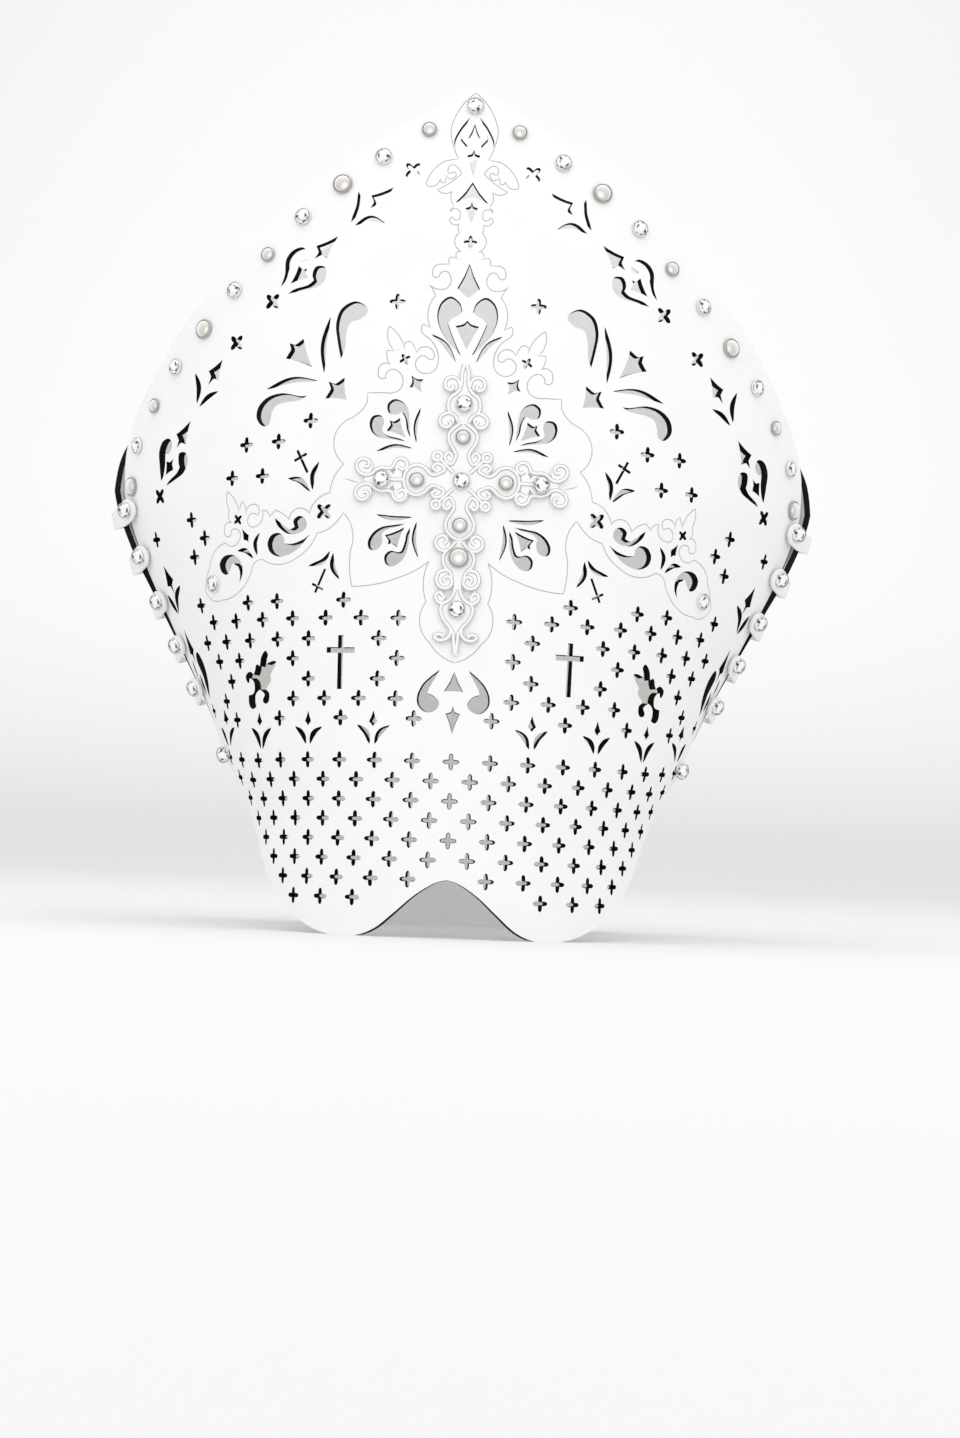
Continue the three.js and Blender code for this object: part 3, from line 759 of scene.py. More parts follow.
@dataclass(frozen=True)
class Lattice:
    """The diaper of small petal crosses over the lower panel, and the loose net above it.

    Attributes:
        pitch: The distance between crosses in a row.
        draw: How much the rows draw in towards the middle.
        sag: How far a row has sunk at sag_at.
        sag_at: How far from the middle that is.
        most: How far a row sinks at most.
        rise: How far the diaper's rows climb again, as the hem does, over each climb_over.
        climb_from: How far from the middle they begin to climb.
        climb_over: The distance of one rise.
        diaper: Height, and the first and last place on one side, in pitches.
        net: Height, and the places on one side, in pitches.
    """

    pitch: float = 15.2
    draw: float = 0.007
    sag: float = 0.7
    sag_at: float = 75
    most: float = 1.15
    rise: float = 1.8
    climb_from: float = 100
    climb_over: float = 22
    diaper: tuple[tuple[float, float, float], ...] = (
        (68, 0, 8),
        (60.4, 0.5, 7.5),
        (52.8, 0, 7),
        (45.2, 0.5, 6.5),
        (37.6, 0, 6),
        (30, 0.5, 5.5),
        (22.4, 1, 5),
        (14.8, 2.5, 4.5),
    )
    net: tuple[tuple[float, tuple[float, ...]], ...] = (
        (84.4, (1, 3, 5, 7)),
        (92, (1.5, 2.5, 3.5, 4.5, 7.5)),
        (99.7, (2, 4, 7)),
        (107.8, (1.5, 4.5, 6.5, 7.5)),
        (115.5, (2, 4, 5, 6, 7, 8)),
        (123.5, (1.5, 2.5, 3.5, 4.5, 5.5, 6.5, 7.5)),
        (130.5, (3, 5, 6, 8)),
    )

    def crosses(self) -> list[PetalCross]:
        """Every cross of one side, those on the middle line among them."""
        crosses = []
        for up, first, last in self.diaper:
            places = [first + i for i in range(round(last - first) + 1)]
            crosses += [self.cross(place * self.pitch, up, self.rise) for place in places]
        for up, places in self.net:
            crosses += [self.cross(place * self.pitch, up, 0.0) for place in places]
        return crosses

    def cross(self, x: float, up: float, rise: float) -> PetalCross:
        """The cross at a distance from the middle, in a row of a given height and rise."""
        climbed = rise * max(0.0, (x - self.climb_from) / self.climb_over)
        sunk = min(self.sag * (x / self.sag_at) ** 2, self.most) - climbed
        return PetalCross(x * (1 - self.draw), up - sunk)


# ---- Engraved lines, right of the middle line: corners, and the bulge of the arc after each ----

ENGRAVED = [
    [(0, 336, 0.2), (9.5, 320, 0.1), (6, 308.5, 0)],
    [
        (6, 308.5, 0), (11, 307.5, 0.2), (18, 299.5, 0.3), (18, 297, 0.5), (13, 300, 0.6), (11, 298.5, 0),
        (10.5, 301.5, 0.7), (7, 301, 0.8), (8, 303, -1.1), (10, 304, -0.5), (8, 306, -0.2),
        (4.5, 302.5, -0.1), (14, 295.5, 0.4), (8, 295, 0.3), (7, 289, 0),
    ],
    [
        (7, 288.5, 0.4), (8.5, 286.5, -0.7), (4.5, 286.5, 0), (4.5, 284, -0.7), (7.5, 284.5, 0.8),
        (8, 282, 0.4), (5, 281.5, 0.2), (4.5, 278, 0.6), (3.5, 270.5, 0.8), (5, 267.5, 0), (7.5, 268, 0.4),
        (8, 265, 0),
    ],
    [
        (8, 265, 0), (11, 265, 0.5), (14.5, 261.5, 1.2), (11.5, 261, -0.7), (7.5, 260.5, -0.4),
        (9, 255, -0.3), (15.5, 256.5, -0.1), (13, 252, 0.3), (14.5, 239, 0),
    ],
    [
        (14.5, 239, 0), (17.5, 240.5, 0.5), (16, 235.5, -0.3), (11, 224.5, -0.6), (18.5, 221.5, -0.5),
        (18.5, 227, -0.5), (15, 226.5, 0.8), (12.5, 228, 0.6), (18.5, 230.5, 0), (19.5, 229, 0),
    ],
    [
        (19.5, 229, 0), (21, 232, 1.1), (24.5, 230.5, 0.2), (31, 239.5, 0.3), (28.5, 229.5, 0),
        (31.5, 229.5, 0.2), (30, 224, 0.7), (34.5, 221, 0.8), (31.5, 218.5, -0.7), (27, 221.5, -0.5),
        (26, 213.5, -0.2), (31.5, 212.5, 0), (38.5, 212.5, 0),
    ],
    [
        (38.5, 212.5, 0), (38.5, 209, -0.2), (45.5, 202, 0.6), (47, 184, 0.2), (52.5, 172.5, 0.3),
        (61, 164.4, 0.7), (70, 162, 0.15), (76.3, 165.8, 0), (79, 163.4, 0.4), (82.5, 166, -0.5),
        (86.5, 159.5, -0.7), (89.5, 163, -0.6), (85, 164, 0.8), (87, 168.5, 0.4), (90.5, 165, 0.3),
        (92.5, 170, 0),
    ],
    [
        (92.5, 170, 0), (94, 166, 0.2), (100, 174, 0.2), (99, 166, 0.5), (98, 161.5, 0.6), (102, 158.5, 0.8),
        (98.5, 156.5, -0.6), (96, 159, -0.6), (94, 154.5, -0.5), (101.5, 153.5, 0.3), (111.5, 144.5, 0.1),
        (116, 135, 0.4), (106, 131, 0.3), (88, 142, -0.4), (82.5, 146.5, 0.3), (66, 147, 0.2),
        (57.5, 156.5, 0.1), (52, 158.5, 0.1), (46.5, 164.5, 0),
    ],
    [
        (46.5, 164.5, -0.3), (43, 150, 0.1), (42, 135.5, 0.1), (22.5, 139.5, 0.1), (11.5, 146, 0.2),
        (12, 130, 0.4), (10, 114, 0.2), (0, 106.5, 0),
    ],
    [(46, 178, 0), (41, 176.5, 0)],
]


# ---- Flat sheets ----


@dataclass
class Sheet:
    """A flat sheet in triangles, ready to be bent.

    Attributes:
        points: Flat places.
        faces: Triangles that stay, anticlockwise.
        grooved: Which triangles lie in an engraved line.
        low: The points on the middle of an engraved line.
    """

    points: list[Flat]
    faces: list[tuple[int, int, int]]
    grooved: list[bool]
    low: set[int]

    def sides(self) -> list[tuple[int, int]]:
        """The sides of every triangle, in order."""
        return [pair for a, b, c in self.faces for pair in ((a, b), (b, c), (c, a))]

    def rims(self) -> list[tuple[int, int]]:
        """The sides along a cut edge, in order. The leather lies on their left."""
        sides = self.sides()
        known = set(sides)
        return [(start, end) for start, end in sides if (end, start) not in known]


def inside(outline: Outline, x: float, y: float) -> bool:
    """Whether a flat place lies in an outline."""
    found = False
    for (ax, ay), (bx, by) in zip(outline, outline[1:] + outline[:1]):
        if (ay > y) != (by > y) and x < ax + (y - ay) * (bx - ax) / (by - ay):
            found = not found
    return found


@dataclass
class CuttingTable:
    """Flat outlines that together divide a sheet.

    Attributes:
        coords: Every corner.
        faces: The corners of each outline, anticlockwise.
    """

    coords: list[Vector] = field(default_factory=list)
    faces: list[list[int]] = field(default_factory=list)

    def add_corners(self, points: Outline) -> list[int]:
        """Adds corners and gives their numbers."""
        start = len(self.coords)
        self.coords.extend(Vector(p) for p in points)
        return list(range(start, len(self.coords)))

    def add_face(self, corners: list[int]) -> None:
        """Adds an outline over corners that are already there."""
        chain = [self.coords[i] for i in corners]
        area = sum(p.x * q.y - q.x * p.y for p, q in zip(chain, chain[1:] + chain[:1]))
        if abs(area) > SLIVER:
            self.faces.append(corners if area > 0 else corners[::-1])

    def add(self, outline: Outline) -> None:
        """Adds a closed outline."""
        self.add_face(self.add_corners(outline))

    def add_groove(self, line: Outline, width: float) -> list[int]:
        """Adds both flanks of a groove and gives the numbers of its middle corners."""
        sides = self.add_corners(ribbon_outline([(x, y, width) for x, y in line]))
        right, left = sides[: len(line)], sides[: len(line) - 1 : -1]
        middle = self.add_corners(line)
        for i in range(len(line) - 1):
            for near, far in ((right, middle), (middle, left)):
                self.add_face([near[i], near[i + 1], far[i + 1]])
                self.add_face([near[i], far[i + 1], far[i]])
        return middle[1:-1]

    def add_strip(self, line: Outline, width: float) -> None:
        """Adds a strip with round ends and joints, piece by piece."""
        half = width / 2
        for (ax, ay), (bx, by) in zip(line, line[1:]):
            length = math.dist((ax, ay), (bx, by))
            nx, ny = (ay - by) / length * half, (bx - ax) / length * half
            self.add([(ax - nx, ay - ny), (bx - nx, by - ny), (bx + nx, by + ny), (ax + nx, ay + ny)])
        for x, y in line:
            self.add(disc(x, y, half))

    def fill(self, outline: Outline, grid: float) -> None:
        """Fills the inside of an outline with even points, clear of the corners."""
        tree = kdtree.KDTree(len(self.coords))
        for i, point in enumerate(self.coords):
            tree.insert((point.x, point.y, 0), i)
        tree.balance()
        low, high = min(p[1] for p in outline), max(p[1] for p in outline)
        columns = math.ceil(max(p[0] for p in outline) / grid) + 1
        for row in range(math.ceil((high - low) / grid)):
            y = low + (row + 0.5) * grid
            for column in range(-columns, columns):
                x = (column + 0.5 * (row % 2)) * grid
                if tree.find((x, y, 0))[2] > FILL_CLEAR * grid and inside(outline, x, y):
                    self.coords.append(Vector((x, y)))

    def divide(self, first_cut: int, first_groove: int, middles: set[int]) -> Sheet:
        """Divides the sheet into triangles.

        Args:
            first_cut: The number of the first outline that is cut away. Those before it stay.
            first_groove: The number of the first outline of a groove.
            middles: The corners on the middle of a groove.

        Returns:
            The sheet.
        """
        found = delaunay_2d_cdt(self.coords, [], self.faces, 1, SLIVER, True)
        points, triangles, sources, parents = found[0], found[2], found[3], found[5]
        kept: list[tuple[int, ...]] = []
        grooved: list[bool] = []
        for triangle, owners in zip(triangles, parents):
            leather = any(owner < first_cut for owner in owners)
            if leather and not any(first_cut <= owner < first_groove for owner in owners):
                kept.append(tuple(triangle))
                grooved.append(any(owner >= first_groove for owner in owners))
        used = sorted({i for face in kept for i in face})
        place = {old: new for new, old in enumerate(used)}
        low = {place[i] for i in used if any(source in middles for source in sources[i])}
        faces = [tuple(place[i] for i in face) for face in kept]
        return Sheet([tuple(points[i]) for i in used], faces, grooved, low)


def cut_sheet(
    outline: Outline, openings: list[Outline], lines: list[Outline], line_width: float, grid: float
) -> Sheet:
    """Cuts openings and engraves lines in a flat sheet.

    Args:
        outline: The sheet's own outline.
        openings: Outlines that are cut away. They may overlap.
        lines: The middle lines of the grooves.
        line_width: The full width of a groove.
        grid: The distance between the points that fill the sheet.

    Returns:
        The sheet.
    """
    table = CuttingTable()
    table.add(outline)
    for opening in openings:
        table.add(opening)
    first_groove = len(table.faces)
    middles = {corner for line in lines for corner in table.add_groove(line, line_width)}
    table.fill(outline, grid)
    return table.divide(1, first_groove, middles)


# ---- Pieces ----


class Part(Enum):
    """The material slots of a piece of cut leather."""

    SKIN = 0
    GROOVE = 1
    LINING = 2
    EDGE = 3


def place_object(name: str, data: bpy.types.ID) -> bpy.types.Object:
    """Puts a new object in the scene, at the origin."""
    thing = bpy.data.objects.new(name, data)
    bpy.context.scene.collection.objects.link(thing)
    return thing


def new_piece(
    name: str, points: list[Vector], faces: list[tuple[int, ...]], slots: list[int] | None = None
) -> bpy.types.Object:
    """Makes a piece of points and faces.

    Args:
        name: The piece's name.
        points: Its points, in metres.
        faces: The points of each face.
        slots: The material slot of each face, or none where one slot does for all.

    Returns:
        The piece.
    """
    mesh = bpy.data.meshes.new(name)
    mesh.from_pydata(points, [], faces)
    if slots:
        mesh.polygons.foreach_set("material_index", slots)
    mesh.update()
    return place_object(name, mesh)


def rim_drift(sheet: Sheet, reach: float) -> dict[int, Flat]:
    """How far each point on a cut edge moves away from the leather, by its number."""
    drift: dict[int, Vector] = {}
    for start, end in sheet.rims():
        run = Vector(sheet.points[end]) - Vector(sheet.points[start])
        away = Vector((run.y, -run.x)).normalized()
        for corner in (start, end):
            drift[corner] = drift.get(corner, Vector((0, 0))) + away
    return {i: tuple(reach * away.normalized()) for i, away in drift.items()}


def leather_object(
    name: str, sheet: Sheet, leather: BentLeather, outer: float, inner: float, groove: float = 0.0,
    taper: float = 0.0,
) -> bpy.types.Object:
    """Bends a flat sheet and gives it its thickness.

    Args:
        name: The object's name.
        sheet: The flat sheet.
        leather: The bend that it follows.
        outer: Where its outer face lies, before the panel's own outer face.
        inner: Where its inner face lies.
        groove: The depth of an engraved line.
        taper: How much narrower an opening is at the inner face, on each side.

    Returns:
        The object, with its faces sorted by Part.
    """
    drift = rim_drift(sheet, taper)
    outers, inners = [], []
    for i, (x, y) in enumerate(sheet.points):
        outers.append(leather.place(x, y, outer - (groove if i in sheet.low else 0)))
        across, up = drift.get(i, (0, 0))
        inners.append(leather.place(x + across, max(y + up, 0.0), inner))
    count = len(sheet.points)
    faces: list[tuple[int, ...]] = []
    slots: list[int] = []
    for (a, b, c), in_groove in zip(sheet.faces, sheet.grooved):
        faces += [(a, b, c), (a + count, c + count, b + count)]
        slots += [Part.GROOVE.value if in_groove else Part.SKIN.value, Part.LINING.value]
    for start, end in sheet.rims():
        faces.append((start, start + count, end + count, end))
        slots.append(Part.EDGE.value)
    return new_piece(name, [*outers, *inners], faces, slots)


def swept_faces(rings: int, size: int) -> list[tuple[int, ...]]:
    """The faces of a bar that runs through rings of points, its two ends first.

    Args:
        rings: The number of rings.
        size: The number of points in each.

    Returns:
        The points of each face.
    """
    last = (rings - 1) * size
    faces = [tuple(range(size)), tuple(reversed(range(last, last + size)))]
    for start in range(0, last, size):
        for j in range(size):
            k = (j + 1) % size
            faces.append((start + j, start + size + j, start + size + k, start + k))
    return faces


def select_only(piece: bpy.types.Object) -> None:
    """Makes a piece the only one that is selected."""
    for other in bpy.context.selected_objects:
        other.select_set(False)
    piece.select_set(True)
    bpy.context.view_layer.objects.active = piece


def smooth_by_angle(piece: bpy.types.Object, degrees: float) -> None:
    """Shades a piece smooth but for its sharp edges."""
    select_only(piece)
    bpy.ops.object.shade_smooth_by_angle(angle=math.radians(degrees))


def round_edges(piece: bpy.types.Object, width: float, segments: int, degrees: float) -> None:
    """Rounds the edges of a piece that are sharper than an angle.

    Args:
        piece: The piece.
        width: The width of the rounding, in metres.
        segments: The number of strips across it.
        degrees: The least angle between two faces of such an edge.
    """
    rounding = piece.modifiers.new("rounding", "BEVEL")
    rounding.width = width
    rounding.segments = segments
    rounding.limit_method = "ANGLE"
    rounding.angle_limit = math.radians(degrees)
    select_only(piece)
    bpy.ops.object.modifier_apply(modifier=rounding.name)


def outward_faces(piece: bpy.types.Object) -> None:
    """Turns every face of a closed piece outwards."""
    select_only(piece)
    bpy.ops.object.mode_set(mode="EDIT")
    bpy.ops.mesh.select_all(action="SELECT")
    bpy.ops.mesh.normals_make_consistent(inside=False)
    bpy.ops.object.mode_set(mode="OBJECT")


def join(body: bpy.types.Object, others: list[bpy.types.Object]) -> None:
    """Joins other pieces to a body."""
    select_only(body)
    for other in others:
        other.select_set(True)
    bpy.ops.object.join()


def give_slots(piece: bpy.types.Object, materials: list[bpy.types.Material]) -> None:
    """Gives a piece its materials, one slot each."""
    for material in materials:
        piece.data.materials.append(material)


def stand_for(piece: bpy.types.Object, node: str) -> None:
    """Rides a finished piece on the root in place of a node and reports it."""
    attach(piece, "root")
    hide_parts(node)
    LOG.info("%s: %d faces", piece.name, len(piece.data.polygons))


# ---- Finishes ----


def set_inputs(node: bpy.types.Node, values: dict[str, float]) -> None:
    """Sets a node's plain inputs by name."""
    for label, value in values.items():
        node.inputs[label].default_value = value


def new_material(name: str, values: dict[str, float]) -> tuple[bpy.types.Material, bpy.types.Node]:
    """A new material and its shader, whose plain inputs are set by name."""
    material = bpy.data.materials.new(name)
    material.use_nodes = True
    shader = material.node_tree.nodes["Principled BSDF"]
    set_inputs(shader, values)
    return material, shader


def colour_by(
    material: bpy.types.Material, mask: bpy.types.NodeSocket, stops: tuple[tuple[float, Colour], ...]
) -> None:
    """Colours a material by a mask.

    Args:
        material: The material.
        mask: The output that picks the colour, from 0 to 1.
        stops: A value of the mask and the colour there, two or more times, in rising order.
    """
    nodes, links = material.node_tree.nodes, material.node_tree.links
    ramp = nodes.new("ShaderNodeValToRGB")
    elements = ramp.color_ramp.elements
    ready = len(elements)
    for index, (position, colour) in enumerate(stops):
        stop = elements[index] if index < ready else elements.new(position)
        stop.position, stop.color = position, (*colour, 1)
    links.new(mask, ramp.inputs["Fac"])
    links.new(ramp.outputs["Color"], nodes["Principled BSDF"].inputs["Base Color"])


def grey(value: float) -> Colour:
    """A grey of a given brightness."""
    return (value, value, value)


def leather_grain() -> bpy.types.NodeTree:
    """Fine pebbled grain: a height, and a soft mask of lighter and darker places.

    Returns:
        The node group. Its Cell is the size of a grain in millimetres.
    """
    name = "leather_grain"
    if name in bpy.data.node_groups:
        return bpy.data.node_groups[name]
    group = bpy.data.node_groups.new(name, "ShaderNodeTree")
    cell = group.interface.new_socket(name="Cell", in_out="INPUT", socket_type="NodeSocketFloat")
    cell.default_value = 0.9
    for label in ("Height", "Tone"):
        group.interface.new_socket(name=label, in_out="OUTPUT", socket_type="NodeSocketFloat")
    nodes, links = group.nodes, group.links
    source, result = nodes.new("NodeGroupInput"), nodes.new("NodeGroupOutput")
    place = nodes.new("ShaderNodeTexCoord")
    scale = nodes.new("ShaderNodeMath")
    scale.operation = "DIVIDE"
    scale.inputs[0].default_value = 1 / MM
    cells = nodes.new("ShaderNodeTexVoronoi")
    cells.feature = "SMOOTH_F1"
    drift = nodes.new("ShaderNodeTexNoise")
    set_inputs(drift, {"Scale": 38, "Detail": 4})
    links.new(source.outputs["Cell"], scale.inputs[1])
    links.new(scale.outputs[0], cells.inputs["Scale"])
    links.new(place.outputs["Object"], cells.inputs["Vector"])
    links.new(place.outputs["Object"], drift.inputs["Vector"])
    links.new(cells.outputs["Distance"], result.inputs["Height"])
    links.new(drift.outputs["Fac"], result.inputs["Tone"])
    return group


@dataclass(frozen=True)
class LeatherFinish:
    """Dyed leather with a fine grain.

    Attributes:
        name: The material's name.
        light: The colour of its lighter places.
        dark: The colour of its darker places.
        roughness: How dull it is.
        cell: The size of a grain.
        relief: How strongly the grain stands out.
        shine: How strongly it mirrors.
        depth: The grain's depth.
    """

    name: str
    light: Colour
    dark: Colour
    roughness: float = 0.5
    cell: float = 0.9
    relief: float = 0.06
    shine: float = 0.5
    depth: float = 0.4

    def material(self) -> bpy.types.Material:
        """Builds the material."""
        plain = {"Roughness": self.roughness, "Specular IOR Level": self.shine}
        material, shader = new_material(self.name, plain)
        nodes, links = material.node_tree.nodes, material.node_tree.links
        grain = nodes.new("ShaderNodeGroup")
        grain.node_tree = leather_grain()
        set_inputs(grain, {"Cell": self.cell})
        colour_by(material, grain.outputs["Tone"], ((0.35, self.dark), (0.65, self.light)))
        bump = nodes.new("ShaderNodeBump")
        set_inputs(bump, {"Strength": self.relief, "Distance": self.depth * MM})
        links.new(grain.outputs["Height"], bump.inputs["Height"])
        links.new(bump.outputs["Normal"], shader.inputs["Normal"])
        return material


WHITE = LeatherFinish("white_leather", grey(0.885), (0.868, 0.868, 0.87), 0.42)
PLAIN_WHITE = LeatherFinish("plain_white_leather", grey(0.875), (0.855, 0.855, 0.857), 0.46, 1.1, 0.08)
LINING = LeatherFinish("lining_leather", (0.9, 0.895, 0.885), (0.87, 0.865, 0.855), 0.65, 0.7, 0.12)
GROOVE = LeatherFinish("engraved_line", (0.62, 0.62, 0.615), (0.55, 0.55, 0.545), 0.6, 0.7, 0.1, 0.2)
# Painted shade: dark lines along the feet of the cross's ribbons, standing for the shade in the crease where
# a ribbon meets the plate.
CREASE_SHADE = LeatherFinish("painted_crease_shade", (0.44, 0.44, 0.435), (0.36, 0.36, 0.355), 0.7, 0.7, 0.1, 0.1)
BURNT = LeatherFinish("burnt_edge", (0.018, 0.016, 0.015), (0.008, 0.007, 0.007), 0.7, 0.5, 0.4, 0.02)
TAN = LeatherFinish("tan_leather", (0.5, 0.3, 0.16), (0.36, 0.2, 0.1), 0.6, 1.0, 0.2)


@dataclass(frozen=True)
class PearlFinish:
    """A cream pearl painted with a highlight in the middle, painted shade round it, and pale again at its
    edge.

    Attributes:
        name: The material's name.
        rings: How far the surface turns away, and the colour there: a painted highlight where it faces the
            view, painted shade further round, paler at the edge.
    """

    name: str = "pearl"
    rings: tuple[tuple[float, Colour], ...] = (
        (0.0, (0.97, 0.955, 0.925)),
        (0.03, (0.87, 0.848, 0.805)),
        (0.09, (0.6, 0.578, 0.53)),
        (0.26, (0.66, 0.638, 0.59)),
        (0.6, (0.9, 0.885, 0.85)),
    )

    def material(self) -> bpy.types.Material:
        """Builds the material."""
        plain = {"Roughness": 0.2, "Coat Weight": 0.4, "Coat Roughness": 0.08}
        material = new_material(self.name, plain)[0]
        # Painted highlight and shade: the colour follows how far the surface turns from the view.
        edge = material.node_tree.nodes.new("ShaderNodeLayerWeight")
        set_inputs(edge, {"Blend": 0.5})
        colour_by(material, edge.outputs["Facing"], self.rings)
        return material


@dataclass(frozen=True)
class CrystalFinish:
    """Clear cut crystal over a silvered back, with painted reflections: each facet is as bright as its own
    attribute says.

    Attributes:
        name: The material's name.
        attribute: The name of the facets' attribute.
        dark: The colour of the darkest facet, a painted reflection of shade.
        light: The colour of the brightest, a painted glint.
        tones: The painted reflection on each facet of the crown, as a brightness, in the order in which they
            are given out.
        stride: How many tones further on the next facet takes its own.
    """

    name: str = "crystal"
    attribute: str = "facet"
    dark: Colour = (0.004, 0.004, 0.005)
    light: Colour = (0.97, 0.97, 0.975)
    tones: tuple[float, ...] = (0.95, 0.3, 0.98, 0.7, 0.08, 0.97, 0.55, 1.0, 0.18, 0.95, 0.65, 0.98, 0.02)
    stride: int = 7

    def material(self) -> bpy.types.Material:
        """Builds the material."""
        plain = {"Metallic": 0.55, "Roughness": 0.06, "Coat Weight": 0.5, "Coat Roughness": 0.02}
        material = new_material(self.name, plain)[0]
        facet = material.node_tree.nodes.new("ShaderNodeAttribute")
        facet.attribute_name = self.attribute
        # The facet attribute carries painted reflections, from dark to light.
        colour_by(material, facet.outputs["Fac"], ((0, self.dark), (1, self.light)))
        return material

    def brighten(self, stone: bpy.types.Object) -> None:
        """Paints a reflection on each crown facet of a stone as its brightness, the table and the girdle the
        full one.
        """
        gleam = stone.data.attributes.new(self.attribute, "FLOAT", "FACE")
        for index, face in enumerate(stone.data.polygons):
            crown = 0.3 < face.normal.z < 0.99
            # Painted reflection: each crown facet takes a dark or light tone in turn.
            tone = self.tones[index * self.stride % len(self.tones)]
            gleam.data[index].value = tone if crown else 1.0


@dataclass(frozen=True)
class MetalFinish:
    """Thin nickelled metal of a stone's cup.

    Attributes:
        name: The material's name.
        dark: The brightness of its darker places.
        light: The brightness of its lighter places.
    """

    name: str
    dark: float
    light: float

    def material(self) -> bpy.types.Material:
        """Builds the material."""
        material = new_material(self.name, {"Metallic": 0.9, "Roughness": 0.28})[0]
        nodes, links = material.node_tree.nodes, material.node_tree.links
        place = nodes.new("ShaderNodeTexCoord")
        drift = nodes.new("ShaderNodeTexNoise")
        set_inputs(drift, {"Scale": 900})
        links.new(place.outputs["Object"], drift.inputs["Vector"])
        colour_by(material, drift.outputs["Fac"], ((0, grey(self.dark)), (1, grey(self.light))))
        return material


@dataclass
class Wardrobe:
    """Every finish, built once.

    Attributes:
        white: The white leather of the front panel, the cross and the tabs.
        plain: The back panel's white leather.
        lining: The leather's inner side.
        groove: An engraved line.
        crease: The painted shade in the creases along the feet of the cross's ribbons.
        burnt: The cut edges of the leather.
        tan: The tan leather of the strips.
        pearl: A pearl, with a painted highlight and painted shade.
        crystal: A cut crystal, with painted reflections on its facets.
        metal: A pearl's cup.
        bright_metal: A crystal's cup.
    """

    white: bpy.types.Material = field(default_factory=WHITE.material)
    plain: bpy.types.Material = field(default_factory=PLAIN_WHITE.material)
    lining: bpy.types.Material = field(default_factory=LINING.material)
    groove: bpy.types.Material = field(default_factory=GROOVE.material)
    crease: bpy.types.Material = field(default_factory=CREASE_SHADE.material)
    burnt: bpy.types.Material = field(default_factory=BURNT.material)
    tan: bpy.types.Material = field(default_factory=TAN.material)
    pearl: bpy.types.Material = field(default_factory=PearlFinish().material)
    crystal: bpy.types.Material = field(default_factory=CrystalFinish().material)
    metal: bpy.types.Material = field(default_factory=MetalFinish("cup_metal", 0.42, 0.52).material)
    bright_metal: bpy.types.Material = field(default_factory=MetalFinish("bright_metal", 0.74, 0.9).material)


# ---- Sub-assemblies ----


@dataclass
class FrontPanel:
    """The pierced and engraved front panel.

    Attributes:
        line_width: The width of an engraved line.
        line_depth: Its depth.
        taper: How much narrower an opening is at the inner face, on each side.
        grid: The distance between the points that fill the sheet.
        crease: The angle between faces, in degrees, from which an edge stays sharp.
    """

    line_width: float = 0.4
    line_depth: float = 0.3
    taper: float = 0.25
    grid: float = 4.2
    crease: float = 28

    def openings(self) -> list[Outline]:
        """Every outline that is cut away."""
        paired = [*CURLS, *BLADES, *KITES, *CROSSLETS, *PETAL_CROSSES]
        single = [*AXIS_KITES, *ARROWS, AXIS_PETAL_CROSS]
        for cross in Lattice().crosses():
            (single if cross.across == 0 else paired).append(cross)
        sides = [outline for shape in paired for outline in shape.outlines()]
        return [*both_sides(sides), *(outline for shape in single for outline in shape.outlines())]

    def build(self, wardrobe: Wardrobe) -> None:
        """Builds the panel and dresses it."""
        lines = both_sides([arc_path(rows) for rows in ENGRAVED])
        sheet = cut_sheet(panel_outline(FRONT_HEM), self.openings(), lines, self.line_width, self.grid)
        piece = leather_object("pierced_front", sheet, FRONT, 0, -WALL, self.line_depth, self.taper)
        smooth_by_angle(piece, self.crease)
        give_slots(piece, [wardrobe.white, wardrobe.groove, wardrobe.lining, wardrobe.burnt])
        stand_for(piece, "front_panel")


@dataclass
class BackPanel:
    """The plain back panel.

    Attributes:
        grid: The distance between the points that fill the sheet.
        crease: The angle between faces, in degrees, from which an edge stays sharp.
    """

    grid: float = 6.0
    crease: float = 40

    def build(self, wardrobe: Wardrobe) -> None:
        """Builds the panel and dresses it."""
        sheet = cut_sheet(panel_outline(BACK_HEM), [], [], 1, self.grid)
        piece = leather_object("plain_back", sheet, BACK, 0, -WALL)
        smooth_by_angle(piece, self.crease)
        give_slots(piece, [wardrobe.plain, wardrobe.groove, wardrobe.lining, wardrobe.burnt])
        stand_for(piece, "back_panel")


# ---- The raised cross, right of its middle line and measured from its centre ----

HEAD_RIBBONS = [
    [
        (0.4, 46.6), (1.3, 43), (1.3, 39.5), (1.8, 37.4), (2.7, 40.2), (4.7, 41.4), (6.9, 40.7),
        (7.8, 38.8), (7.2, 36.9), (5.6, 36.2), (4.5, 37.3), (5.1, 38.6),
    ],
    [(1.6, 37), (3.4, 34.8), (5.4, 33.2), (6.2, 30.4), (5.6, 27.6), (3.4, 26)],
    [
        (2.2, 24.2), (4.2, 26.6), (6.5, 26.9), (8.6, 25.7), (9.3, 23.8), (8.4, 21.9), (6.3, 21.3),
        (4.9, 22.6), (5.8, 24),
    ],
    [(0.8, 23.2), (3.6, 21), (5.4, 18.6), (5.3, 15.8), (3.6, 12.8), (2.5, 10.6), (2.6, 9)],
]
CORNER_SCROLL = [(2.6, 9), (4.2, 6.6), (6, 7.6), (6.7, 9.8), (5.3, 11.3), (3.9, 10)]
CORNER_SPOKE = [(3.2, 3.2), (6, 6), (8.2, 8.2)]
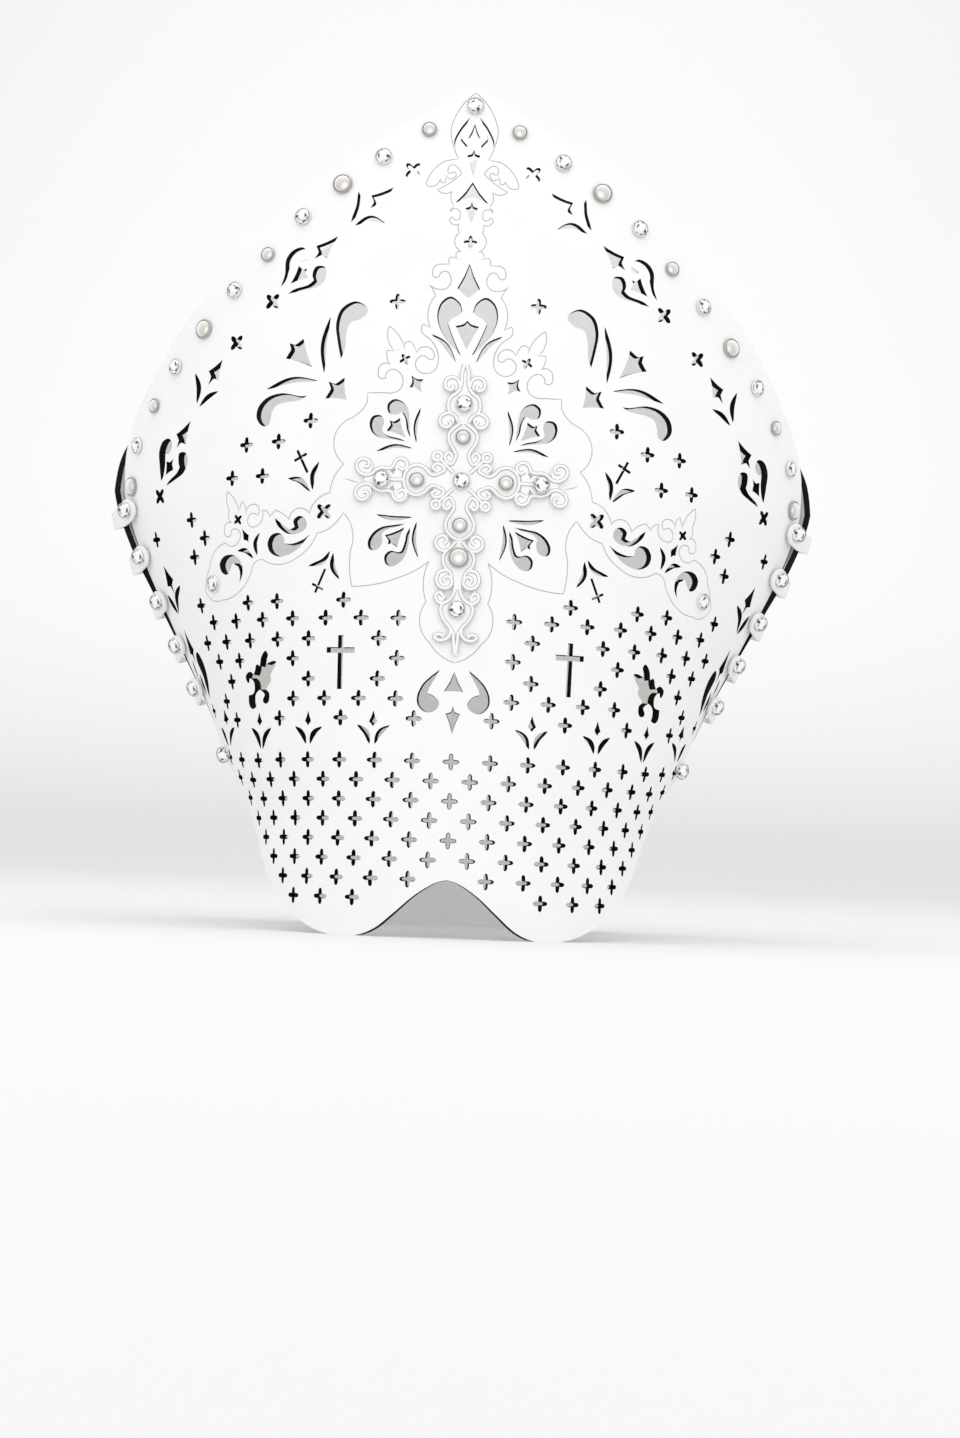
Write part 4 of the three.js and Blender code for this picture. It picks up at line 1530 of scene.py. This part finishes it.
ARM_RIBBONS = [
    [(9.2, 2.5), (11, 2.1), (12.8, 3.2), (14.5, 5), (17.3, 6), (20.2, 5), (22, 2.4), (22.4, 0)],
    [(31, 4.7), (28.9, 4.4), (27, 5), (26, 7.2), (24, 8.4), (21.8, 7.4), (21.4, 5.3), (23, 4), (24.6, 5)],
    [
        (31, 4.7), (33.4, 3.8), (35.4, 2.1), (38, 1.8), (40.6, 3.3), (41.5, 5.6), (40.4, 7.6),
        (38.2, 8.1), (36.3, 6.8), (36.8, 5), (38.4, 5.2),
    ],
]
ARM_BRIDGE = [(22.6, 0), (28, 0)]
FOOT_RIBBONS = [
    [(2.6, -9), (2.5, -11), (4, -13.6), (5.4, -16.4), (5, -19.6), (3, -21.8), (0.8, -23)],
    [
        (1.4, -24), (3.4, -26.6), (5.6, -27.6), (7.8, -27), (9.2, -24.9), (8.3, -22.4), (6, -21.7),
        (4.6, -23.5), (6, -25),
    ],
    [(3.4, -26.6), (5.4, -28.6), (6, -31.2), (5, -34), (3, -36), (2.3, -38)],
    [
        (3, -35.8), (5, -35.2), (7.2, -36), (8.2, -38.5), (7.3, -41.3), (4.8, -42.3), (2.6, -41.2),
        (2.3, -39), (4, -37.6), (5.5, -38.8), (4.7, -40),
    ],
    [
        (0.9, -42.5), (1.6, -45), (3.4, -47.2), (5.6, -48.2), (7.9, -47), (8.2, -44.9), (6.6, -44),
        (5.4, -45.4),
    ],
    [(5.6, -48.2), (6.2, -51), (4.8, -54.6), (2.3, -57.6), (0.9, -60)],
    [(2.3, -57.6), (2.2, -60.4), (4, -62.3), (6.6, -62.6), (8.2, -61.2), (6.6, -60.2), (5.2, -60.6)],
    [(0.3, -67.5), (0.7, -63), (0.9, -60)],
]
# Rings at the inner corners, and the plate's discs within the scrolls: centre and radius.
LOBES = [(9.6, 9.6, 1.7), (9.6, -9.6, 1.7)]
EYES = [
    (5.2, 38.6, 2.8), (6.4, 24, 2.8), (5.2, 9.4, 2), (9.4, 5.2, 2), (9.6, 9.6, 1.8), (23.9, 5.9, 2.7),
    (38, 5, 3), (5.2, -9.4, 2), (9.4, -5.2, 2), (9.6, -9.6, 1.8), (23.9, -5.9, 2.7), (38, -5, 3),
    (6.2, -24.6, 2.8), (5.2, -39, 3), (6.4, -46, 1.6), (24.8, 2.4, 1.7), (24.8, -2.4, 1.7),
]
# The plate's edge along the head, an arm and the foot, and its middle.
HEAD_EDGE = [
    (4.2, 6.6), (2.6, 9), (2.5, 10.6), (3.6, 12.8), (5.3, 15.8), (5.4, 18.6), (3.6, 21), (1.2, 23.2),
    (1.2, 24.2), (3.4, 26), (5.6, 27.6), (6.2, 30.4), (5.4, 33.2), (3.4, 34.8), (1.6, 37), (1.2, 42),
    (0.3, 46.6),
]
ARM_EDGE = [
    (4.2, 6.6), (6.6, 4.2), (9.2, 2.5), (11, 2.1), (12.8, 3.2), (14.5, 5), (17.3, 6), (20.2, 5),
    (22, 2.4), (24, 1), (26, 1.6), (28.9, 4.4), (31, 4.7), (33.4, 3.8), (35.4, 2.1), (38, 0.6),
]
FOOT_EDGE = [
    (4.2, -6.6), (2.6, -9), (2.5, -11), (4, -13.6), (5.4, -16.4), (5, -19.6), (3, -21.8), (1.2, -23),
    (1.4, -24), (3.4, -26.6), (5.4, -28.6), (6, -31.2), (5, -34), (3, -36), (1.6, -40), (1.4, -44),
    (3.4, -47.2), (5.6, -48.2), (6.2, -51), (4.8, -54.6), (2.3, -57.6), (1.2, -61), (0.3, -67),
]
HEART = [(4.4, 7), (-4.4, 7), (-7, 4.4), (-7, -4.4), (-4.4, -7), (4.4, -7), (7, -4.4), (7, 4.4)]


def flipped(points: Outline) -> Outline:
    """The same points on the other side of the line through the arms."""
    return [(x, -y) for x, y in points]


@dataclass
class CrossApplique:
    """The raised cross: a thin scrolled plate under rounded ribbons.

    Attributes:
        centre: The height of its centre.
        thick: The plate's thickness.
        margin: How far the plate stands out beyond a ribbon, on each side.
        ribbon: A ribbon's full width.
        lift: How high a ribbon's back stands over its underside.
        sink: How far the ribbons are sunk into the plate.
        profile: A ribbon's profile: to the side, in widths, and up, in lifts.
        creases: Which sides of the profile are the creases along a ribbon's feet, which take painted shade.
        plate_step: The distance between points along the plate's edge.
        ribbon_step: The distance between points along a ribbon.
        crease: The angle between faces, in degrees, from which an edge stays sharp.
    """

    centre: float = 177.7
    thick: float = 1.0
    margin: float = 0.15
    ribbon: float = 1.6
    lift: float = 0.45
    sink: float = 0.02
    profile: tuple[Flat, ...] = (
        (-0.5, 0.0),
        (-0.5, 0.3),
        (-0.34, 0.25),
        (-0.28, 0.75),
        (-0.12, 1.0),
        (0.12, 1.0),
        (0.28, 0.75),
        (0.34, 0.25),
        (0.5, 0.3),
        (0.5, 0.0),
    )
    creases: tuple[int, int] = (1, 7)
    plate_step: float = 1.5
    ribbon_step: float = 0.7
    crease: float = 45

    def ribbons(self) -> list[Outline]:
        """The middle lines of the ribbons right of the middle line, about the centre."""
        corner = [CORNER_SCROLL, [(y, x) for x, y in CORNER_SCROLL], CORNER_SPOKE]
        corners = [*corner, *map(flipped, corner)]
        arm = [*ARM_RIBBONS, *map(flipped, ARM_RIBBONS), ARM_BRIDGE]
        return [*HEAD_RIBBONS, *corners, *arm, *FOOT_RIBBONS]

    def raised_lines(self, step: float) -> list[Outline]:
        """Every ribbon's middle line, at its place on the leather, in steps of a given length."""
        right = [flowing(line, step) for line in self.ribbons()]
        angles = [math.radians(degrees) for degrees in range(0, 361, 24)]
        right += [ring_points(*lobe, angles) for lobe in LOBES]
        return [[(x, y + self.centre) for x, y in line] for line in both_sides(right)]

    def fields(self) -> list[Outline]:
        """The flat fields between the ribbons, about the centre."""
        head, arm, foot = (flowing(line, self.plate_step) for line in (HEAD_EDGE, ARM_EDGE, FOOT_EDGE))
        across = [*arm, *flipped(arm[::-1])]
        upright = [[*line, *mirrored(line[::-1])] for line in (head, foot)]
        return [*upright, across, mirrored(across), HEART]

    def plate(self) -> Sheet:
        """The flat plate under the ribbons and the stones."""
        table = CuttingTable()
        for line in self.raised_lines(self.plate_step):
            table.add_strip(line, self.ribbon + 2 * self.margin)
        for shape in [*self.fields(), *both_sides([disc(*eye) for eye in EYES])]:
            table.add([(x, y + self.centre) for x, y in shape])
        return table.divide(len(table.faces), len(table.faces), set())

    def raised_ribbon(self, line: Outline) -> bpy.types.Object:
        """A ribbon with a rounded back along a flat line, closed at both ends."""
        base = CLEAR + self.thick - self.sink
        points: list[Vector] = []
        for i, (x, y) in enumerate(line):
            dx, dy = heading_at(line, i)
            for side, high in self.profile:
                reach = side * self.ribbon
                points.append(FRONT.place(x - dy * reach, y + dx * reach, base + high * self.lift))
        size = len(self.profile)
        # The creases at a ribbon's feet take the crease finish, which is painted shade.
        walls = [Part.GROOVE.value if j in self.creases else Part.SKIN.value for j in range(size)]
        slots = [Part.SKIN.value] * 2 + walls * (len(line) - 1)
        piece = new_piece("ribbon", points, swept_faces(len(line), size), slots)
        outward_faces(piece)
        return piece

    def build(self, wardrobe: Wardrobe) -> None:
        """Builds the plate and its ribbons, and dresses them."""
        plate = leather_object("raised_cross", self.plate(), FRONT, CLEAR + self.thick, CLEAR)
        ribbons = [self.raised_ribbon(line) for line in self.raised_lines(self.ribbon_step)]
        for piece in (plate, *ribbons):
            give_slots(piece, [wardrobe.white, wardrobe.crease, wardrobe.lining, wardrobe.white])
        join(plate, ribbons)
        smooth_by_angle(plate, self.crease)
        stand_for(plate, "cross_applique")


def open_primitive() -> bpy.types.Object:
    """Applies the place of the primitive that was just added, and opens it in edit mode."""
    piece = bpy.context.active_object
    bpy.ops.object.transform_apply(location=True, rotation=True, scale=True)
    bpy.ops.object.mode_set(mode="EDIT")
    return piece


def select_tops(piece: bpy.types.Object) -> None:
    """Selects the faces that look straight up, in edit mode."""
    bpy.ops.mesh.select_all(action="DESELECT")
    work = bmesh.from_edit_mesh(piece.data)
    for face in work.faces:
        face.select = face.normal.z > UPWARD
    bmesh.update_edit_mesh(piece.data)


def leaned_forward(seat: Matrix, side: float, degrees: float, lift: float) -> Matrix:
    """Leans a seat forwards, away from the side of the mitre that it lies on.

    Args:
        seat: The frame on the leather.
        side: Below 0 on the left, above it on the right.
        degrees: How far it leans.
        lift: How far it is lifted off the leather first.

    Returns:
        The frame.
    """
    lean = Matrix.Rotation(-math.copysign(math.radians(degrees), side), 4, "Y")
    return seat @ Matrix.Translation((0, 0, lift * MM)) @ lean


# Across, up and kind. A stone off the middle line has its mirror image.
RIM_STONES = [
    (0, 330.5, Gem.CRYSTAL),
    (18, 320.3, Gem.SMALL),
    (36, 309, Gem.CRYSTAL),
    (52.5, 298, Gem.LARGE),
    (69, 285, Gem.CRYSTAL),
    (84, 270.2, Gem.SMALL),
    (99.5, 256.4, Gem.CRYSTAL),
    (114.7, 241.4, Gem.LARGE),
    (130.5, 227, Gem.CRYSTAL),
    (144, 212, Gem.SMALL),
    (157, 196.5, Gem.CRYSTAL),
    (163, 180, Gem.LARGE),
]
CROSS_STONES = [
    (0, 208.4, Gem.CRYSTAL),
    (0, 195.2, Gem.SMALL),
    (0, 177.7, Gem.CRYSTAL),
    (0, 160.3, Gem.SMALL),
    (0, 147.6, Gem.LARGE),
    (0, 127.2, Gem.CRYSTAL),
    (17.3, 177.7, Gem.SMALL),
    (31, 177.7, Gem.CRYSTAL),
]
# Name, across, up, and how far the crystal leans forwards, in degrees.
PANEL_STONES = [("arm_crystal", 110, 137.6, 0), ("temple_crystal", 125.5, 70, 38)]


@dataclass
class StoneSetter:
    """Models each kind of stone once, and sets copies of it on the leather.

    Shares are of the stone's radius, which is also its cup's.

    Attributes:
        wardrobe: The finishes.
        cup_height: The height of a cup's wall.
        lips: The width of the cup's lip as a share, for a crystal and for a pearl.
        lip_rise: How far the lip's ridge stands over the wall.
        well: How far the cup's floor lies below that ridge.
        ball: The radius of a pearl's ball as a share.
        flat: The ball's height as a share of its width.
        ball_up: The height of the ball's centre.
        ball_cut: The height at which the ball is cut off.
        girdle: The lower and the upper radius of a crystal's girdle, as shares.
        girdle_height: Its height.
        crowns: How far in, as a share, and how far up each ring of facets runs.
        twist: How far the second ring is turned from the first, in degrees.
        turn: How far each stone is turned on from the one before, in radians.
        lift: How far a leaning crystal is lifted for each degree of its lean.
        turns: The number of stones set so far.
    """

    wardrobe: Wardrobe
    cup_height: float = 0.8
    lips: tuple[float, float] = (0.06, 0.15)
    lip_rise: float = 0.15
    well: float = 0.4
    ball: float = 0.84
    flat: float = 0.56
    ball_up: float = 0.5
    ball_cut: float = 0.3
    girdle: tuple[float, float] = (0.94, 0.86)
    girdle_height: float = 0.4
    crowns: tuple[Flat, Flat] = ((0.2, 0.4), (0.24, 0.25))
    twist: float = 15
    turn: float = 2.4
    lift: float = 0.04
    turns: int = 0

    def __post_init__(self) -> None:
        """Models the kinds of stone."""
        self.models = {gem: self.model(gem) for gem in Gem}

    def materials(self, gem: Gem) -> list[bpy.types.Material]:
        """The stone's finish and its cup's."""
        if gem is Gem.CRYSTAL:
            return [self.wardrobe.crystal, self.wardrobe.bright_metal]
        return [self.wardrobe.pearl, self.wardrobe.metal]

    def model(self, gem: Gem) -> bpy.types.Mesh:
        """Models a stone in its cup, standing along +Z at the origin.

        Args:
            gem: The kind of stone.

        Returns:
            A mesh of two slots, the stone and the cup.
        """
        radius = gem.value * MM
        clear = gem is Gem.CRYSTAL
        cup = self.cup(radius, self.lips[0 if clear else 1] * radius)
        stone = self.crystal(radius) if clear else self.pearl(radius)
        for polygon in cup.data.polygons:
            polygon.material_index = 1
        for piece in (stone, cup):
            give_slots(piece, self.materials(gem))
        join(stone, [cup])
        mesh = stone.data.copy()
        bpy.data.objects.remove(stone, do_unlink=True)
        return mesh

    def cup(self, radius: float, lip: float) -> bpy.types.Object:
        """A thin round cup with a rolled lip of a given width."""
        height = self.cup_height * MM
        middle = (0, 0, height / 2)
        bpy.ops.mesh.primitive_cylinder_add(vertices=24, radius=radius, depth=height, location=middle)
        cup = open_primitive()
        select_tops(cup)
        bpy.ops.mesh.inset(thickness=lip / 2, depth=self.lip_rise * MM)
        bpy.ops.mesh.inset(thickness=lip / 2, depth=-self.well * MM)
        bpy.ops.object.mode_set(mode="OBJECT")
        smooth_by_angle(cup, 50)
        return cup

    def pearl(self, radius: float) -> bpy.types.Object:
        """A low half pearl that fills its cup."""
        bpy.ops.mesh.primitive_uv_sphere_add(
            segments=24,
            ring_count=14,
            radius=self.ball * radius,
            location=(0, 0, self.ball_up * MM),
            scale=(1, 1, self.flat),
        )
        ball = open_primitive()
        bpy.ops.mesh.select_all(action="SELECT")
        cut = (0, 0, self.ball_cut * MM)
        bpy.ops.mesh.bisect(plane_co=cut, plane_no=(0, 0, 1), clear_inner=True, use_fill=True)
        bpy.ops.object.mode_set(mode="OBJECT")
        smooth_by_angle(ball, 60)
        return ball

    def crystal(self, radius: float) -> bpy.types.Object:
        """A cut stone: a girdle, two rings of crown facets and a flat table."""
        bpy.ops.mesh.primitive_cone_add(
            vertices=10,
            radius1=self.girdle[0] * radius,
            radius2=self.girdle[1] * radius,
            depth=self.girdle_height * MM,
            location=(0, 0, self.cup_height * MM),
        )
        stone = open_primitive()
        select_tops(stone)
        (outer, outer_rise), (inner, inner_rise) = self.crowns
        bpy.ops.mesh.inset(thickness=outer * radius, depth=outer_rise * MM)
        centre = (0, 0, 0)
        bpy.ops.transform.rotate(value=math.radians(self.twist), orient_axis="Z", center_override=centre)
        bpy.ops.mesh.inset(thickness=inner * radius, depth=inner_rise * MM)
        bpy.ops.mesh.select_all(action="SELECT")
        bpy.ops.mesh.quads_convert_to_tris()
        bpy.ops.object.mode_set(mode="OBJECT")
        CrystalFinish().brighten(stone)
        return stone

    def set_stone(self, node: str, gem: Gem, seat: Matrix) -> None:
        """Sets a copy of a stone in its place.

        Args:
            node: The node that it replaces.
            gem: The kind of stone.
            seat: The frame that it stands on.
        """
        self.turns += 1
        mesh = self.models[gem].copy()
        mesh.transform(seat @ Matrix.Rotation(self.turn * self.turns, 4, "Z"))
        stand_for(place_object(f"{node}_set", mesh), node)

    def set_row(self, prefix: str, rows: list[tuple[float, float, Gem]], out: float) -> None:
        """Sets a row of stones, each with its mirror image.

        Args:
            prefix: The first word of the nodes' names.
            rows: Across, up and the kind of each stone.
            out: How far before the panel the stones stand.
        """
        for index, (across, up, gem) in enumerate(rows, 1):
            sides = [("", 0.0)] if across == 0 else [("_left", -across), ("_right", across)]
            for side, at in sides:
                self.set_stone(f"{prefix}_{gem.kind}_{index}{side}", gem, FRONT.seat(at, up, out))

    def set_leaning(self, rows: list[tuple[str, float, float, float]]) -> None:
        """Sets pairs of crystals that lean forwards, each given by name, across, up and degrees."""
        for name, across, up, degrees in rows:
            for side, at in (("left", -across), ("right", across)):
                seat = leaned_forward(FRONT.seat(at, up, 0), at, degrees, self.lift * degrees)
                self.set_stone(f"{name}_{side}", Gem.CRYSTAL, seat)


class Section(NamedTuple):
    """A cross-section of a tab.

    Attributes:
        centre: The middle of its underside, in metres.
        side: The direction across the tab.
        half: Half the width, in metres.
        outward: The direction away from the leather.
    """

    centre: Vector
    side: Vector
    half: float
    outward: Vector


def section_at(leather: BentLeather, across: float, up: float, half: float, seat: float) -> Section:
    """A cross-section of a tab that lies on a panel.

    Args:
        leather: The panel.
        across: Where on it the section lies.
        up: The height.
        half: Half the tab's width there.
        seat: How far before the panel its underside lies.

    Returns:
        The section.
    """
    centre = leather.place(across, up, seat)
    outward = (leather.place(across, up, seat + 1) - centre).normalized()
    side = (leather.place(across, up + 1, seat) - centre).normalized()
    return Section(centre, side, half * MM, outward)


@dataclass
class Tabs:
    """The leather tabs that hold the side seams together, each riveted with a crystal.

    Attributes:
        heights: The height of each rivet, from the top down.
        thick: The leather's thickness.
        seat: How far before the front panel a tab's inner end lies.
        bow: How much further out it stands at the seam.
        petal: The part on the front panel, from its tip: inwards from the seam, below the rivet's
            height, half the width, and the share of the bow.
        ridge: The part over the seam: below the rivet's height, half the width, and how far out.
        nape: The tip on the back panel: inwards, below, half the width, and how far out.
        rounding: The width of its rounded edges.
        rivet: The rivet's place: inwards from the seam, below the rivet's height, and the share of the bow.
        lean: How far the rivet leans forwards, in degrees.
        lift: How far it is lifted off the tab.
    """

    heights: tuple[float, ...] = (170.5, 151.5, 133, 115, 97.5)
    thick: float = 1.2
    seat: float = 0.8
    bow: float = 2.0
    petal: tuple[tuple[float, float, float, float], ...] = (
        (9.4, 0, 0.8, 0),
        (8.8, 0, 2.3, 0.1),
        (7.4, 0.2, 3.9, 0.25),
        (5, 0.6, 4.8, 0.55),
        (3, 1.4, 4.8, 0.8),
        (1.6, 2.2, 4.6, 1),
    )
    ridge: tuple[float, float, float] = (4.2, 3.5, 1.2)
    nape: tuple[float, float, float, float] = (5, 5.8, 0.7, 1.0)
    rounding: float = 0.3
    rivet: tuple[float, float, float] = (4.6, 0.3, 0.5)
    lean: float = 34
    lift: float = 0.5

    def sections(self, up: float) -> list[Section]:
        """Cross-sections along a right-hand tab whose rivet lies at a height."""
        edge = seam_at(up)
        petal = [
            section_at(FRONT, edge - inwards, up - below, half, self.seat + share * self.bow)
            for inwards, below, half, share in self.petal
        ]
        inwards, below, half, out = self.nape
        nape = section_at(BACK, inwards - edge, up - below, half, out)
        below, half, out = self.ridge
        crest = BACK.place(-seam_at(up - below), up - below, out + self.bow)
        outward = (petal[-1].outward + nape.outward).normalized()
        return [*petal, Section(crest, petal[-1].side, half * MM, outward), nape]

    def build(self, wardrobe: Wardrobe, setter: StoneSetter) -> None:
        """Builds both rows of tabs."""
        for index, up in enumerate(self.heights, 1):
            for side, mirror in (("right", 1), ("left", -1)):
                self.build_tab(f"tab_{side}_{index}", up, mirror, wardrobe, setter)

    def build_tab(self, node: str, up: float, mirror: int, wardrobe: Wardrobe, setter: StoneSetter) -> None:
        """Builds one tab with its rivet.

        Args:
            node: The node that it replaces.
            up: The height of its rivet.
            mirror: 1 on the right and -1 on the left.
            wardrobe: The finishes.
            setter: The stones.
        """
        points: list[Vector] = []
        for centre, side, half, outward in self.sections(up):
            reach, lift = side * half, outward * self.thick * MM
            points += [centre - reach, centre + reach, centre + reach + lift, centre - reach + lift]
        for point in points:
            point.x *= mirror
        piece = new_piece(f"{node}_petal", points, swept_faces(len(points) // 4, 4))
        outward_faces(piece)
        round_edges(piece, self.rounding * MM, 2, 50)
        inwards, below, share = self.rivet
        out = self.seat + self.thick + share * self.bow
        seat = FRONT.seat(mirror * (seam_at(up) - inwards), up - below, out)
        gem = setter.models[Gem.CRYSTAL].copy()
        gem.transform(leaned_forward(seat, mirror, self.lean, self.lift))
        give_slots(piece, [wardrobe.white])
        join(piece, [place_object("rivet", gem)])
        smooth_by_angle(piece, 40)
        stand_for(piece, node)


@dataclass
class SeamStrips:
    """The tan strips that back the side seams on the inside.

    Attributes:
        low: The height of a strip's lower end.
        high: The height of its upper end.
        wide: How far it reaches onto each panel.
        thick: Its thickness.
        inset: How far inside the panels' inner faces it lies.
        crest: How much further inside it lies at the corner.
        corner: How far from the corner it begins to bend, as a share of the way.
        step: The distance between points across it.
        rows: The number of stretches along it.
    """

    low: float = 92
    high: float = 176
    wide: float = 8
    thick: float = 1.2
    inset: float = 0.9
    crest: float = 0.6
    corner: float = 0.3
    step: float = 1.5
    rows: int = 14

    def build(self, wardrobe: Wardrobe) -> None:
        """Builds both strips."""
        for side, mirror in (("right", 1), ("left", -1)):
            self.build_strip(f"seam_strip_{side}", mirror, wardrobe)

    def curve_at(self, up: float) -> list[Row]:
        """The strip's outer face at a height on the right, from the front panel to the back, in metres."""
        edge = seam_at(up)
        depth = -WALL - self.inset
        fore = FRONT.place(edge - self.wide, up, depth)
        hind = BACK.place(-edge + self.wide, up, depth)
        crest = FRONT.place(edge, up, depth - self.crest)
        crest.y = (SEAM_GAP / 2 - MIDDLE_SHIFT) * MM
        crest.x = min(crest.x, BACK.place(-edge, up, depth - self.crest).x)
        bends = [fore, crest.lerp(fore, self.corner), crest, crest.lerp(hind, self.corner), hind]
        return flowing([tuple(bend) for bend in bends], self.step * MM)

    def build_strip(self, node: str, mirror: int, wardrobe: Wardrobe) -> None:
        """Builds one strip, bent round the corner between the panels.

        Args:
            node: The node that it replaces.
            mirror: 1 on the right and -1 on the left.
            wardrobe: The finishes.
        """
        rise = (self.high - self.low) / self.rows
        curves = [self.curve_at(self.low + rise * i) for i in range(self.rows + 1)]
        count = len(curves[0])
        points: list[Vector] = []
        for curve in curves:
            for inwards in (0, self.thick * MM):
                points += [Vector((mirror * (x - inwards), y, z)) for x, y, z in resample(curve, count)]
        row = 2 * count
        faces: list[tuple[int, ...]] = []
        for a in range(0, self.rows * row, row):
            b = a + row
            for j in range(count - 1):
                faces.append((a + j, a + j + 1, b + j + 1, b + j))
                faces.append((a + j + count, b + j + count, b + j + count + 1, a + j + count + 1))
            faces.append((a, b, b + count, a + count))
            faces.append((a + count - 1, a + row - 1, b + row - 1, b + count - 1))
        for a in (0, self.rows * row):
            faces += [(a + j, a + count + j, a + count + j + 1, a + j + 1) for j in range(count - 1)]
        piece = new_piece(f"{node}_tan", points, faces)
        outward_faces(piece)
        smooth_by_angle(piece, 40)
        give_slots(piece, [wardrobe.tan])
        stand_for(piece, node)


def resample(points: list[Row], count: int) -> list[Row]:
    """A row of points brought to a given count, evenly by index."""
    out = []
    for i in range(count):
        at = i * (len(points) - 1) / (count - 1)
        low = min(int(at), len(points) - 2)
        out.append(tuple(a + (b - a) * (at - low) for a, b in zip(points[low], points[low + 1])))
    return out


# ---- The studio ----


class Lamp(NamedTuple):
    """A soft square lamp.

    Attributes:
        name: Its name.
        place: Where it hangs, in metres.
        turn: Its turn about each axis, in degrees. Unturned, it shines straight down.
        size: The length of its side, in metres.
        power: Its power, in watts.
    """

    name: str
    place: tuple[float, float, float]
    turn: tuple[float, float, float]
    size: float
    power: float


LAMPS = [
    Lamp("over", (0, -0.3, 1.5), (13, 0, 0), 1.8, 10.5),
    Lamp("back", (0, 2.0, 1.8), (90, 0, 0), 2.0, 15.5),
    Lamp("fore_left", (-1.2, -1.3, 0.9), (62, 0, -42), 1.2, 1.2),
    Lamp("fore_right", (1.2, -1.3, 0.9), (62, 0, 42), 1.2, 1.2),
]


@dataclass
class Studio:
    """A pale floor that sweeps up into a backdrop, soft lights and the camera.

    Lengths are in metres, but for the lens and the sensor, which are in millimetres.

    Attributes:
        floor_size: The length of the floor's side.
        wall: The height of the backdrop.
        sweep: The width of the bend between them.
        paper: The brightness of floor and backdrop.
        surround: The strength of the light from all round.
        lens: The camera's focal length.
        sensor: The height of its sensor.
        distance: How far before the mitre it stands.
        eye: Its height.
        aside: How far right of the middle it stands.
        pitch: How far it looks up, in degrees.
        roll: How far it is turned about its own view, in degrees.
    """

    floor_size: float = 8
    wall: float = 5
    sweep: float = 2.5
    paper: float = 0.75
    surround: float = 0.97
    lens: float = 48.067
    sensor: float = 24.0
    distance: float = 1.2
    eye: float = 0.0375
    aside: float = 0.0106
    pitch: float = 2.45
    roll: float = 2.08

    def build(self) -> None:
        """Builds everything that isn't part of the mitre."""
        self.floor()
        self.lights()
        self.camera()

    def floor(self) -> None:
        """A floor and a backdrop in one sweep."""
        bpy.ops.mesh.primitive_plane_add(size=self.floor_size, location=(0, 0, 0))
        floor = open_primitive()
        floor.name = "studio_floor"
        bpy.ops.mesh.select_all(action="DESELECT")
        work = bmesh.from_edit_mesh(floor.data)
        for edge in work.edges:
            edge.select = all(corner.co.y > 0 for corner in edge.verts)
        bmesh.update_edit_mesh(floor.data)
        bpy.ops.mesh.extrude_region_move(TRANSFORM_OT_translate={"value": (0, 0, self.wall)})
        bpy.ops.object.mode_set(mode="OBJECT")
        round_edges(floor, self.sweep, 24, 30)
        bpy.ops.object.shade_smooth()
        material, shader = new_material("studio_paper", {"Roughness": 0.9, "Specular IOR Level": 0.1})
        shader.inputs["Base Color"].default_value = (*grey(self.paper), 1)
        give_slots(floor, [material])

    def lights(self) -> None:
        """Broad soft lights from above and from both sides, and a pale surround."""
        world = bpy.data.worlds.new("surround")
        world.use_nodes = True
        background = world.node_tree.nodes["Background"]
        background.inputs["Color"].default_value = (1, 1, 1, 1)
        background.inputs["Strength"].default_value = self.surround
        bpy.context.scene.world = world
        bpy.context.scene.view_settings.view_transform = "Standard"
        for lamp in LAMPS:
            light = bpy.data.lights.new(lamp.name, "AREA")
            light.size = lamp.size
            light.energy = lamp.power
            hung = place_object(lamp.name, light)
            hung.location = lamp.place
            hung.rotation_euler = [math.radians(angle) for angle in lamp.turn]

    def camera(self) -> None:
        """The camera, low before the mitre."""
        data = bpy.data.cameras.new("camera")
        data.sensor_fit = "VERTICAL"
        data.sensor_height = self.sensor
        data.lens = self.lens
        data.clip_end = 50
        camera = place_object("camera", data)
        camera.location = (self.aside, -self.distance - MIDDLE_SHIFT * MM, self.eye)
        tilt = Matrix.Rotation(math.radians(90 + self.pitch), 3, "X")
        camera.rotation_euler = (tilt @ Matrix.Rotation(math.radians(self.roll), 3, "Z")).to_euler()
        bpy.context.scene.camera = camera


def main() -> None:
    """Builds the studio and then the mitre, piece by piece."""
    Studio().build()
    wardrobe = Wardrobe()
    FrontPanel().build(wardrobe)
    BackPanel().build(wardrobe)
    cross = CrossApplique()
    cross.build(wardrobe)
    setter = StoneSetter(wardrobe)
    setter.set_row("rim", RIM_STONES, CLEAR)
    setter.set_row("cross", CROSS_STONES, cross.thick + 2 * CLEAR)
    setter.set_leaning(PANEL_STONES)
    Tabs().build(wardrobe, setter)
    SeamStrips().build(wardrobe)


if __name__ == "__main__":
    main()
